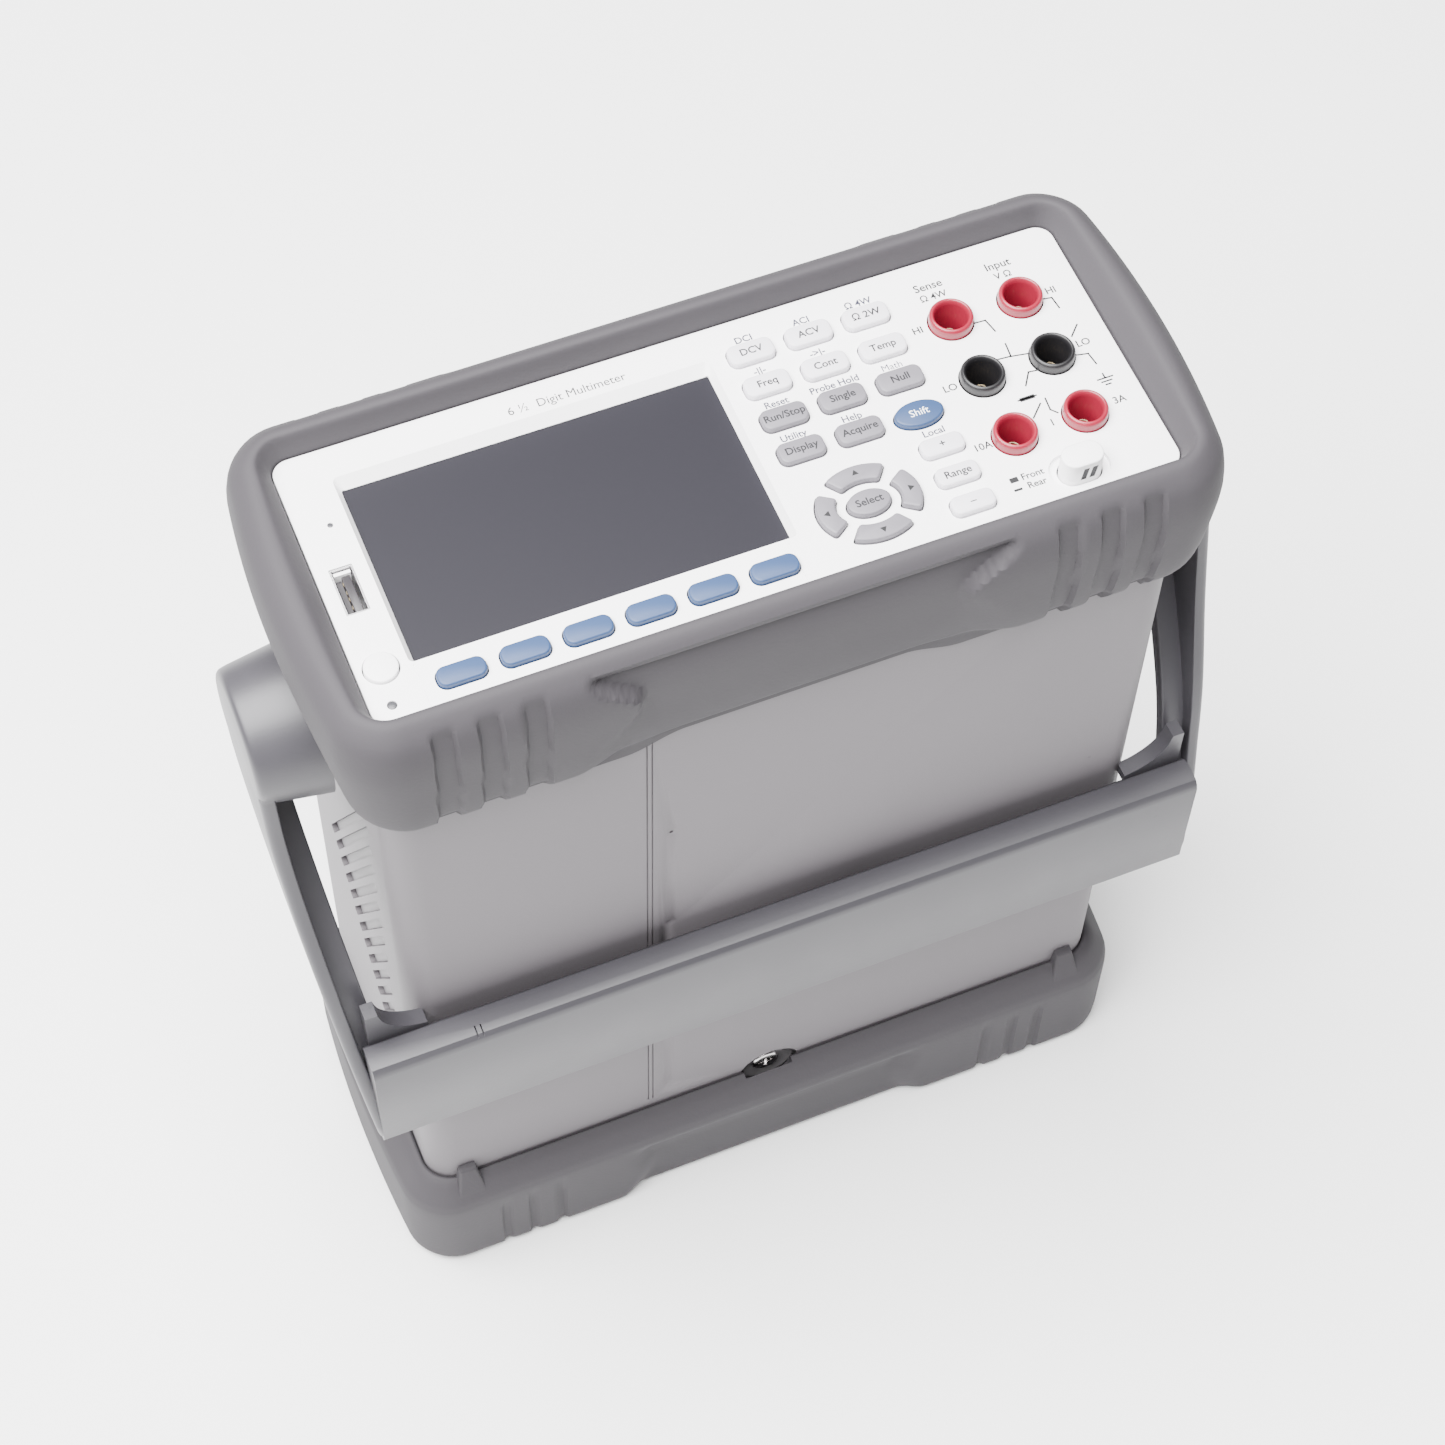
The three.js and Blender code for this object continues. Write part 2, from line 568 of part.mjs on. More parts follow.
function frontPanel() {
  const outline = roundedRect(2 * PANEL_HALF_W, 2 * PANEL_HALF_H, 4.6);
  const board = plate(outline, -PANEL_THICK, 0, 4);
  const openings = keyTable.map((key) =>
    plate(key.shape(KEY_CLEARANCE), -9, 9, key.curveSegments ?? 2).translate(key.x, key.y, 0),
  );
  for (const [, column, row] of jacks) {
    const [x, y] = [JACK_X + column * JACK_PITCH, JACK_TOP_Y - row * JACK_PITCH];
    openings.push(rod(JACK_FLANGE_RADIUS + GAP, 20, "z", x, y, 0, 16));
  }
  openings.push(box(WINDOW_W - 1, WINDOW_H - 1, 20, WINDOW_X, WINDOW_Y, 0));
  openings.push(box(6.2, 14.2, 20, USB_X, USB_Y, 0));
  openings.push(plate(roundedRect(10.6, 7.8, 3.6), -9, 9, 5).translate(SWITCH_X, SWITCH_Y, 0));
  openings.push(plate(roundedRect(15.6, 10, 4.9), -1.2, 9, 5).translate(SWITCH_X, SWITCH_Y + 0.4, 0));
  const rimFrame = roundedRect(2 * PANEL_HALF_W, 2 * PANEL_HALF_H, 4.6);
  rimFrame.holes.push(roundedRect(2 * PANEL_HALF_W - 3, 2 * PANEL_HALF_H - 3, 3.1, 0, 0, THREE.Path));
  const rim = plate(rimFrame, -7.4, -PANEL_THICK + 0.2, 4);
  return geometryOf(solid(board).add(solid(rim)).subtract(openings.map(solid).reduce((a, b) => a.add(b))));
}
add("front_panel", frontPanel(), PANEL_WHITE);

// ---- display ----------------------------------------------------------------------------------------
const windowTop = -PANEL_THICK - GAP;
const lens = plate(roundedRect(WINDOW_W + 4, WINDOW_H + 4, 1), windowTop - 1.2, windowTop);
add("display_window", lens, LENS, WINDOW_X, WINDOW_Y, 0);
const moduleTop = windowTop - 1.2 - GAP;
const MODULE_W = 101.6; // narrow enough to leave the power button its travel
const MODULE_THICK = 4.6;
const displayModule = box(MODULE_W, 62, MODULE_THICK, 0, 0, moduleTop - MODULE_THICK / 2);
add("display_module", displayModule, DARK_PLASTIC, WINDOW_X, WINDOW_Y + 1, 0);

// ---- keypad mat and front board ---------------------------------------------------------------------
function keypadMat() {
  const mat = boxBetween([11.6, -37.5, MAT_TOP - 1.6], [59, 33.5, MAT_TOP]);
  const strip = boxBetween([-88, -37.5, MAT_TOP - 1.6], [12, -30.5, MAT_TOP]);
  return joined(mat, strip);
}
add("keypad_mat", keypadMat(), KEY_GREY);
const BOARD_TOP = moduleTop - MODULE_THICK - GAP;

function frontBoard() {
  const board = boxBetween([-102, -37.5, BOARD_TOP - 1.6], [60.5, 38, BOARD_TOP]);
  const rest = boxBetween([12, -36, BOARD_TOP - 0.2], [58, 33, MAT_TOP - 1.6 - GAP]);
  return joined(board, rest);
}
add("front_board", frontBoard(), BOARD_GREEN);

// ---- USB host socket in the panel --------------------------------------------------------------------
function openShell(width, height, z0, z1, wall) {
  const outer = boxBetween([-width / 2, -height / 2, z0], [width / 2, height / 2, z1]);
  const [innerX, innerY] = [width / 2 - wall, height / 2 - wall];
  const hollow = boxBetween([-innerX, -innerY, z0 + wall], [innerX, innerY, z1 + 1]);
  return cut(outer, hollow);
}
add("usb_host_port", openShell(5.7, 13.7, BOARD_TOP + GAP, -0.2, 0.35), STEEL, USB_X, USB_Y, 0);

// ---- chassis tray, main board and transformer -----------------------------------------------------------
const FLOOR_TOP = -39.6;
function chassisTray() {
  const outer = boxBetween([-101, -41.4, -264.5], [101, -10, -20]);
  const hollow = boxBetween([-99.6, FLOOR_TOP, -264], [99.6, 0, -19]);
  return cut(outer, hollow.translate(0, 0, 1), box(250, 60, 20, 0, FLOOR_TOP + 30.01, -266));
}
add("chassis_tray", chassisTray(), STEEL);
function mainBoard() {
  const board = boxBetween([-97, -33.2, -240], [97, -31.6, -108]);
  const posts = [-80, 0, 80].map((x) => boxBetween([x - 3, FLOOR_TOP + GAP, -184], [x + 3, -33.1, -178]));
  return joined(board, ...posts);
}
add("main_board", mainBoard(), BOARD_GREEN);
function transformer() {
  const core = boxBetween([34, -30.9, -172], [78, 2, -128]);
  const winding = boxBetween([38, -26, -181], [74, -4, -119]);
  return joined(core, winding);
}
add("transformer", transformer(), IRON);

// ---- rear panel with its sockets ------------------------------------------------------------------------
const REAR_FACE = -268;
const REAR_THICK = 1.6;
const FAN_X = 58;
const FAN_Y = 14;
const FAN_RADIUS = 22;
const INLET = { x: -72, y: -22, width: 28, height: 22 };
const REAR_JACKS = { x: -10, y: 20, width: 60, height: 30 };
const PORTS = { x: 10, y: -24, width: 36, height: 20 };
const BNC_X = [38, 56];
const BNC_Y = -24;
const FUSE_X = -36;
const FUSE_Y = -22;

function rearPanel() {
  const sheet = plate(roundedRect(203, 82, 5), REAR_FACE, REAR_FACE + REAR_THICK);
  const openings = [INLET, REAR_JACKS, PORTS].map(({ x, y, width, height }) =>
    box(width + 2 * GAP, height + 2 * GAP, 20, x, y, REAR_FACE),
  );
  for (const x of BNC_X) openings.push(rod(4.9, 20, "z", x, BNC_Y, REAR_FACE, 20));
  openings.push(rod(6.4, 20, "z", FUSE_X, FUSE_Y, REAR_FACE, 20));
  const GRILLE_PITCH = 7;
  const GRILLE_HOLE = 5;
  for (let row = -2; row <= 2; row++) {
    for (let column = -2; column <= 2; column++) {
      if (Math.abs(row) + Math.abs(column) > 3) continue;
      const [x, y] = [FAN_X + column * GRILLE_PITCH, FAN_Y + row * GRILLE_PITCH];
      openings.push(box(GRILLE_HOLE, GRILLE_HOLE, 20, x, y, REAR_FACE));
    }
  }
  return cut(sheet, ...openings);
}
add("rear_panel", rearPanel(), STEEL);

function powerInlet() {
  const { width, height } = INLET;
  const low = [-width / 2, -height / 2, REAR_FACE - 1.5];
  const body = boxBetween(low, [width / 2, height / 2, REAR_FACE + 26]);
  const mouth = boxBetween([-11.8, -8, REAR_FACE - 3], [11.8, 8, REAR_FACE + 16]);
  return cut(body, mouth);
}
add("power_inlet", powerInlet(), DARK_PLASTIC, INLET.x, INLET.y, 0);

function rearJackBlock() {
  const { width, height } = REAR_JACKS;
  const body = boxBetween([-width / 2, -height / 2, REAR_FACE - 5], [width / 2, height / 2, REAR_FACE + 14]);
  const bores = [];
  for (const column of [-1, 0, 1]) {
    for (const row of [-0.5, 0.5]) {
      if (column === 1 && row > 0) continue;
      bores.push(rod(3.6, 14, "z", column * JACK_PITCH, row * JACK_PITCH * 0.8, REAR_FACE - 1, 16));
    }
  }
  return cut(body, ...bores);
}
add("rear_jack_block", rearJackBlock(), JACK_BLACK, REAR_JACKS.x, REAR_JACKS.y, 0);

function portBlock() {
  const { width, height } = PORTS;
  const low = [-width / 2, -height / 2, REAR_FACE - 0.6];
  const body = boxBetween(low, [width / 2, height / 2, REAR_FACE + 18]);
  const network = boxBetween([-15, -6, REAR_FACE - 3], [0, 6, REAR_FACE + 14]);
  const device = boxBetween([4.4, -4, REAR_FACE - 3], [13.4, 4, REAR_FACE + 12]);
  return cut(body, network, device);
}
add("network_usb_block", portBlock(), STEEL, PORTS.x, PORTS.y, 0);

const bncProfile = [
  [0, REAR_FACE - 4],
  [2.8, REAR_FACE - 4],
  [2.8, REAR_FACE - 13],
  [4.4, REAR_FACE - 13],
  [4.4, REAR_FACE - 2.4],
  [6.4, REAR_FACE - 2.4],
  [6.4, REAR_FACE - GAP],
  [4.6, REAR_FACE - GAP],
  [4.6, REAR_FACE + 12],
  [0, REAR_FACE + 12],
];
for (const [name, x] of [["bnc_trigger_in", BNC_X[0]], ["bnc_meter_complete", BNC_X[1]]]) {
  add(name, lathe(bncProfile, 16), BRASS, x, BNC_Y, 0);
}

function fuseCap() {
  const body = rod(6.1, 22, "z", 0, 0, REAR_FACE + 8, 20);
  const head = rod(7.4, 3, "z", 0, 0, REAR_FACE - GAP - 1.5, 20);
  return cut(joined(body, head), box(1.6, 9, 2, 0, 0, REAR_FACE - GAP - 3));
}
add("current_fuse_cap", fuseCap(), DARK_PLASTIC, FUSE_X, FUSE_Y, 0);

// ---- cooling fan ---------------------------------------------------------------------------------------
const FAN_REAR = REAR_FACE + REAR_THICK + GAP;
const FAN_DEPTH = 15;
function fanFrame() {
  const frame = box(50, 50, FAN_DEPTH, 0, 0, FAN_REAR + FAN_DEPTH / 2);
  const duct = rod(FAN_RADIUS, FAN_DEPTH + 2, "z", 0, 0, FAN_REAR + FAN_DEPTH / 2, 32);
  const ring = cut(frame, duct);
  const spokeZ = FAN_REAR + FAN_DEPTH - 1;
  const spokes = [box(46, 3, 2, 0, 0, spokeZ), box(3, 46, 2, 0, 0, spokeZ)];
  return joined(ring, ...spokes, rod(8, 2, "z", 0, 0, FAN_REAR + FAN_DEPTH - 1, 20));
}
add("fan_frame", fanFrame(), DARK_PLASTIC, FAN_X, FAN_Y, 0);

function fanRotor() {
  const z = FAN_REAR + 6.5;
  const hub = rod(8, 9, "z", 0, 0, z, 20);
  const blades = [];
  const BLADES = 7;
  for (let i = 0; i < BLADES; i++) {
    const blade = box(14, 1.4, 9, 14, 0, 0).rotateX(0.7).translate(0, 0, z);
    blades.push(blade.rotateZ((i * 2 * Math.PI) / BLADES));
  }
  return joined(hub, ...blades);
}
add("fan_rotor", fanRotor(), DARK_PLASTIC, FAN_X, FAN_Y, 0);

// ---- cover screw in the sleeve's notch -------------------------------------------------------------------
function coverScrew() {
  const head = rod(3.4, 2, "y", 0, -42.7, 0, 16);
  const shank = rod(1.7, 1.2, "y", 0, -41.2, 0, 12).translate(0, -0.45, 0);
  return cut(joined(head, shank), box(0.8, 1.2, 4.6, 0, -43.7, 0), box(4.6, 1.2, 0.8, 0, -43.7, 0));
}
add("cover_screw", coverScrew(), STEEL, 0, -1, -246);

export default instrument;
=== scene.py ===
import math

import bmesh
import bpy
from mathutils import Matrix, Vector


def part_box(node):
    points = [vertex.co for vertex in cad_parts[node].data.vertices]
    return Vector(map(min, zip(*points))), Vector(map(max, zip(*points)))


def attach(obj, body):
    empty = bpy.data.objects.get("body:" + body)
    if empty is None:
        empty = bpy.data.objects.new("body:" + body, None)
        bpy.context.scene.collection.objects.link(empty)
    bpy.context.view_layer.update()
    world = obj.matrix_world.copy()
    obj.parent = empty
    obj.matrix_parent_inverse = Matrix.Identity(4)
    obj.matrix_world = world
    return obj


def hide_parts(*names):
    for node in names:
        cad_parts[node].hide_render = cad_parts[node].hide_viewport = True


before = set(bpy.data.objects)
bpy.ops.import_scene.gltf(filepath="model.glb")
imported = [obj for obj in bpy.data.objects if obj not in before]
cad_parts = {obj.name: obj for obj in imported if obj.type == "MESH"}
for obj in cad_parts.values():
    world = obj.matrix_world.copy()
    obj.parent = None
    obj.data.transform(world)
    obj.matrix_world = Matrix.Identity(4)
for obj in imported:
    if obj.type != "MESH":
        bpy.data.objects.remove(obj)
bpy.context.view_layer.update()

# ---------------------------------------------------------------------------------------------------
# Studio. A pale sweep of floor under the instrument, a large soft lamp overhead, a weaker one in front
# and an even pale surround. The camera looks down on the panel from the left of the underside.
# ---------------------------------------------------------------------------------------------------
camera_data = bpy.data.cameras.new("camera")
camera_data.lens = 83.2
camera_data.sensor_width = 36
camera = bpy.data.objects.new("camera", camera_data)
camera.location = (-0.19287, -0.43642, 0.94729)
camera.rotation_euler = [math.radians(angle) for angle in (31.687, -0.97, -22.235)]
bpy.context.collection.objects.link(camera)
bpy.context.scene.camera = camera


def soft_lamp(name, place, aim, size, watts):
    data = bpy.data.lights.new(name, "AREA")
    data.size = size
    data.energy = watts
    lamp = bpy.data.objects.new(name, data)
    lamp.location = place
    lamp.rotation_euler = (Vector(aim) - Vector(place)).to_track_quat("-Z", "Y").to_euler()
    bpy.context.collection.objects.link(lamp)


soft_lamp("overhead_lamp", (-0.5, 0.0, 1.8), (0, 0, 0.25), 1.7, 250)
soft_lamp("front_lamp", (-0.5, -1.5, 0.7), (0, 0, 0.12), 1.2, 1.5)

surround = bpy.data.worlds.new("surround")
surround.use_nodes = True
surround.node_tree.nodes["Background"].inputs["Color"].default_value = (1, 0.99, 1, 1)
surround.node_tree.nodes["Background"].inputs["Strength"].default_value = 0.26
bpy.context.scene.world = surround

floor_drawing = bmesh.new()
bmesh.ops.create_grid(floor_drawing, x_segments=1, y_segments=1, size=4)
floor_mesh = bpy.data.meshes.new("floor")
floor_drawing.to_mesh(floor_mesh)
floor_drawing.free()
floor = bpy.data.objects.new("floor", floor_mesh)
floor_paint = bpy.data.materials.new("floor_paint")
floor_paint.use_nodes = True
floor_paint.node_tree.nodes["Principled BSDF"].inputs["Base Color"].default_value = (0.88, 0.88, 0.88, 1)
floor_paint.node_tree.nodes["Principled BSDF"].inputs["Roughness"].default_value = 0.8
floor_mesh.materials.append(floor_paint)
bpy.context.collection.objects.link(floor)

# ---------------------------------------------------------------------------------------------------
# Front bumper. A thick soft ring moulded in grey thermoplastic rubber and stretched over the front end.
# Its sides swell at mid height, its long faces are scooped in the middle and ribbed for grip near the
# corners. It is drawn, like every piece here, in millimetres about the centre of the panel's face.
# ---------------------------------------------------------------------------------------------------
panel_low, panel_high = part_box("front_panel")
PANEL_CENTRE = Vector((0, (panel_low[1] + panel_high[1]) / 2, panel_high[2]))
INTO_FRAME = Matrix.Translation(PANEL_CENTRE) @ Matrix.Scale(0.001, 4)


def moulded_finish_group():
    """Colour drift, roughness drift and a fine grain, for anything moulded, painted or plated."""
    group = bpy.data.node_groups.new("moulded_finish", "ShaderNodeTree")
    face = group.interface
    colour_in = face.new_socket("Colour", in_out="INPUT", socket_type="NodeSocketColor")
    for name, value in (
        ("Drift", 0.04), ("Drift Size", 40), ("Grain Size", 1400), ("Roughness", 0.6), ("Spread", 0.08)
    ):
        face.new_socket(name, in_out="INPUT", socket_type="NodeSocketFloat").default_value = value
    colour_in.default_value = (0.5, 0.5, 0.5, 1)
    face.new_socket("Colour", in_out="OUTPUT", socket_type="NodeSocketColor")
    face.new_socket("Roughness", in_out="OUTPUT", socket_type="NodeSocketFloat")
    face.new_socket("Height", in_out="OUTPUT", socket_type="NodeSocketFloat")
    nodes, links = group.nodes, group.links
    given, result = nodes.new("NodeGroupInput"), nodes.new("NodeGroupOutput")
    place = nodes.new("ShaderNodeTexCoord")

    def noise(size_socket, detail):
        node = nodes.new("ShaderNodeTexNoise")
        node.inputs["Detail"].default_value = detail
        links.new(place.outputs["Object"], node.inputs["Vector"])
        links.new(given.outputs[size_socket], node.inputs["Scale"])
        return node.outputs["Fac"]

    def sum_up(operation, first, second):
        node = nodes.new("ShaderNodeMath")
        node.operation = operation
        for socket, value in zip(node.inputs, (first, second)):
            if isinstance(value, (int, float)):
                socket.default_value = value
            else:
                links.new(value, socket)
        return node.outputs[0]

    drift, grain = noise("Drift Size", 4), noise("Grain Size", 2)
    centred = sum_up("SUBTRACT", drift, 0.5)
    gain = sum_up("ADD", sum_up("MULTIPLY", centred, given.outputs["Drift"]), 1)
    scale = nodes.new("ShaderNodeVectorMath")
    scale.operation = "SCALE"
    links.new(given.outputs["Colour"], scale.inputs[0])
    links.new(gain, scale.inputs["Scale"])
    links.new(scale.outputs["Vector"], result.inputs["Colour"])
    links.new(
        sum_up("ADD", sum_up("MULTIPLY", centred, given.outputs["Spread"]), given.outputs["Roughness"]),
        result.inputs["Roughness"]
    )
    links.new(grain, result.inputs["Height"])
    return group


MOULDED_FINISH = moulded_finish_group()


def finish(
    name, colour, roughness=0.6, drift=0.05, drift_size=45, grain_size=1500, grain_depth=0.00002,
    metallic=0.0, specular=0.5, spread=0.1
):
    """A material whose colour, roughness and relief come from the shared moulded finish."""
    material = bpy.data.materials.new(name)
    material.use_nodes = True
    nodes, links = material.node_tree.nodes, material.node_tree.links
    shader = nodes["Principled BSDF"]
    shader.inputs["Metallic"].default_value = metallic
    shader.inputs["Specular IOR Level"].default_value = specular
    surface = nodes.new("ShaderNodeGroup")
    surface.node_tree = MOULDED_FINISH
    surface.name = "surface"
    surface.inputs["Colour"].default_value = (*colour, 1)
    for socket, value in (
        ("Drift", drift),
        ("Drift Size", drift_size),
        ("Grain Size", grain_size),
        ("Roughness", roughness),
        ("Spread", spread)
    ):
        surface.inputs[socket].default_value = value
    relief = nodes.new("ShaderNodeBump")
    relief.inputs["Distance"].default_value = grain_depth
    links.new(surface.outputs["Colour"], shader.inputs["Base Color"])
    links.new(surface.outputs["Roughness"], shader.inputs["Roughness"])
    links.new(surface.outputs["Height"], relief.inputs["Height"])
    links.new(relief.outputs["Normal"], shader.inputs["Normal"])
    return material


def specks_group():
    """Small dark knocks, scattered unevenly over a handled surface."""
    group = bpy.data.node_groups.new("specks", "ShaderNodeTree")
    face = group.interface
    face.new_socket("Colour", in_out="INPUT", socket_type="NodeSocketColor")
    for name, value in (("Size", 160), ("Share", 0.05), ("Depth", 0.55)):
        face.new_socket(name, in_out="INPUT", socket_type="NodeSocketFloat").default_value = value
    face.new_socket("Colour", in_out="OUTPUT", socket_type="NodeSocketColor")
    nodes, links = group.nodes, group.links
    given, result = nodes.new("NodeGroupInput"), nodes.new("NodeGroupOutput")
    place = nodes.new("ShaderNodeTexCoord")
    cells = nodes.new("ShaderNodeTexVoronoi")
    patches = nodes.new("ShaderNodeTexNoise")
    patches.inputs["Scale"].default_value = 26
    links.new(place.outputs["Object"], cells.inputs["Vector"])
    links.new(place.outputs["Object"], patches.inputs["Vector"])
    links.new(given.outputs["Size"], cells.inputs["Scale"])
    gate = nodes.new("ShaderNodeMapRange")
    gate.inputs["From Min"].default_value = 0.52
    gate.inputs["From Max"].default_value = 0.66
    links.new(patches.outputs["Fac"], gate.inputs["Value"])
    reach = nodes.new("ShaderNodeMath")
    reach.operation = "MULTIPLY"
    links.new(gate.outputs["Result"], reach.inputs[0])
    links.new(given.outputs["Share"], reach.inputs[1])
    spot = nodes.new("ShaderNodeMath")
    spot.operation = "LESS_THAN"
    links.new(cells.outputs["Distance"], spot.inputs[0])
    links.new(reach.outputs[0], spot.inputs[1])
    strength = nodes.new("ShaderNodeMath")
    strength.operation = "MULTIPLY"
    links.new(spot.outputs[0], strength.inputs[0])
    links.new(given.outputs["Depth"], strength.inputs[1])
    blend = nodes.new("ShaderNodeMix")
    blend.data_type = "RGBA"
    links.new(strength.outputs[0], blend.inputs["Factor"])
    links.new(given.outputs["Colour"], blend.inputs[6])
    blend.inputs[7].default_value = (0.03, 0.03, 0.035, 1)
    links.new(blend.outputs[2], result.inputs["Colour"])
    return group


SPECKS = specks_group()


def add_specks(material, size, share, depth):
    """Puts the scattered knocks between a finish and its shader."""
    nodes, links = material.node_tree.nodes, material.node_tree.links
    marks = nodes.new("ShaderNodeGroup")
    marks.node_tree = SPECKS
    for socket, value in (("Size", size), ("Share", share), ("Depth", depth)):
        marks.inputs[socket].default_value = value
    links.new(nodes["surface"].outputs["Colour"], marks.inputs["Colour"])
    links.new(marks.outputs["Colour"], nodes["Principled BSDF"].inputs["Base Color"])


def add_piece(name, drawing, material, body, replaces=(), crease=35):
    """Turns a drawing into a finished piece in its place in the frame."""
    bmesh.ops.remove_doubles(drawing, verts=drawing.verts, dist=0.0005)
    bmesh.ops.recalc_face_normals(drawing, faces=drawing.faces)
    bmesh.ops.transform(drawing, matrix=INTO_FRAME, verts=drawing.verts)
    mesh = bpy.data.meshes.new(name)
    drawing.to_mesh(mesh)
    drawing.free()
    mesh.shade_smooth()
    mesh.set_sharp_from_angle(angle=math.radians(crease))
    mesh.materials.append(material)
    piece = bpy.data.objects.new(name, mesh)
    bpy.context.collection.objects.link(piece)
    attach(piece, body)
    if replaces:
        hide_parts(*replaces)


def combine(base, tool, operation="DIFFERENCE"):
    """Cuts one closed drawing from another, or joins the two; both are used up."""
    blanks = []
    for drawing in (base, tool):
        bmesh.ops.recalc_face_normals(drawing, faces=drawing.faces)
        mesh = bpy.data.meshes.new("blank")
        drawing.to_mesh(mesh)
        drawing.free()
        blank = bpy.data.objects.new("blank", mesh)
        bpy.context.collection.objects.link(blank)
        blanks.append(blank)
    step = blanks[0].modifiers.new("combine", "BOOLEAN")
    step.object = blanks[1]
    step.operation = operation
    step.solver = "MANIFOLD"
    result = bmesh.new()
    result.from_object(blanks[0], bpy.context.evaluated_depsgraph_get())
    for blank in blanks:
        mesh = blank.data
        bpy.data.objects.remove(blank)
        bpy.data.meshes.remove(mesh)
    return result


def soften(drawing, edges, offset, segments):
    """Rounds edges over."""
    bmesh.ops.bevel(
        drawing, geom=edges, offset=offset, segments=segments, profile=0.5, affect="EDGES", material=-1
    )


def spin_closed(drawing, outline, axis, steps):
    """Spins an outline once round an axis through the origin and joins where it meets itself."""
    bmesh.ops.spin(
        drawing, geom=outline, cent=(0, 0, 0), axis=axis, angle=2 * math.pi, steps=steps, use_merge=True
    )
    bmesh.ops.remove_doubles(drawing, verts=drawing.verts, dist=1e-4)


def rod(radius, length, axis="z", x=0.0, y=0.0, z=0.0, sides=48, edge=0.0):
    """A round bar centred on a point, with its end edges rounded by edge."""
    drawing = bmesh.new()
    bmesh.ops.create_cone(
        drawing, cap_ends=True, segments=sides, radius1=radius, radius2=radius, depth=length
    )
    if edge:
        rims = [e for e in drawing.edges if abs(e.verts[0].co.z - e.verts[1].co.z) < 1e-6]
        soften(drawing, rims, edge, 3)
    turn = {
        "x": Matrix.Rotation(math.pi / 2, 4, "Y"),
        "y": Matrix.Rotation(math.pi / 2, 4, "X"),
        "z": Matrix()
    }[axis]
    bmesh.ops.transform(drawing, matrix=Matrix.Translation((x, y, z)) @ turn, verts=drawing.verts)
    return drawing


def block(low, high, corner=0.0, edge=0.0, steps=6):
    """A box between two corners; corner rounds its upright edges, edge rounds the edges of its top."""
    drawing = bmesh.new()
    bmesh.ops.create_cube(drawing, size=1)
    size = Vector(high) - Vector(low)
    bmesh.ops.scale(drawing, vec=size, verts=drawing.verts)
    bmesh.ops.translate(drawing, vec=(Vector(high) + Vector(low)) / 2, verts=drawing.verts)
    if corner:
        upright = [e for e in drawing.edges if abs(e.verts[0].co.z - e.verts[1].co.z) > 1e-6]
        soften(drawing, upright, corner, steps)
    if edge:
        round_top(drawing, edge)
    return drawing


def round_top(drawing, radius, steps=3):
    top = max(v.co.z for v in drawing.verts)
    rim = [e for e in drawing.edges if all(abs(v.co.z - top) < 1e-5 for v in e.verts)]
    soften(drawing, rim, radius, steps)


def thicken(drawing, faces, by):
    """Pulls flat faces out along a vector to make a solid."""
    moved = bmesh.ops.extrude_face_region(drawing, geom=faces)["geom"]
    bmesh.ops.translate(drawing, vec=by, verts=[g for g in moved if isinstance(g, bmesh.types.BMVert)])


def gather(*drawings):
    """Puts several drawings into one."""
    whole = drawings[0]
    for drawing in drawings[1:]:
        mesh = bpy.data.meshes.new("part")
        drawing.to_mesh(mesh)
        drawing.free()
        whole.from_mesh(mesh)
        bpy.data.meshes.remove(mesh)
    return whole


def ease(start, end, value):
    """Goes smoothly from 0 at start to 1 at end."""
    share = max(0.0, min(1.0, (value - start) / (end - start)))
    return share * share * (3 - 2 * share)


def blend_rows(rows, steps):
    """Points on a smooth curve through the rows, with a number of steps between each two."""
    out = []
    for i in range(len(rows) - 1):
        before, a, b, after = rows[max(i - 1, 0)], rows[i], rows[i + 1], rows[min(i + 2, len(rows) - 1)]
        for k in range(steps):
            t = k / steps
            out.append([
                0.5 * (
                    2 * q + (r - p) * t + (2 * p - 5 * q + 4 * r - s) * t * t
                    + (3 * q - p - 3 * r + s) * t**3
                )
                for p, q, r, s in zip(before, a, b, after)
            ])
    return out + [list(rows[-1])]


BUMPER_HALF_W, BUMPER_HALF_H, BUMPER_CORNER = 113.2, 51.9, 13.0
pivot_low, pivot_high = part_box("handle_pivot_right")
PIVOT_Y = ((pivot_low[1] + pivot_high[1]) / 2 - PANEL_CENTRE.y) * 1000
PIVOT_Z = ((pivot_low[2] + pivot_high[2]) / 2 - PANEL_CENTRE.z) * 1000
HUB_RADIUS, HUB_FOOT_RADIUS, HUB_INNER_X = 18.0, 20.2, 112.0
GRIP_GROOVES, REAR_GROOVES = (68.5, 79.7, 91.0), (69.5, 78.5, 87.0)
PIVOT_RELIEF, SCREW_RELIEF = 13.5, 7.5
SCREW_X, SCREW_Z = -1, -246
REAR_RIM_Z = (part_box("rear_bumper")[0][2] - PANEL_CENTRE.z) * 1000


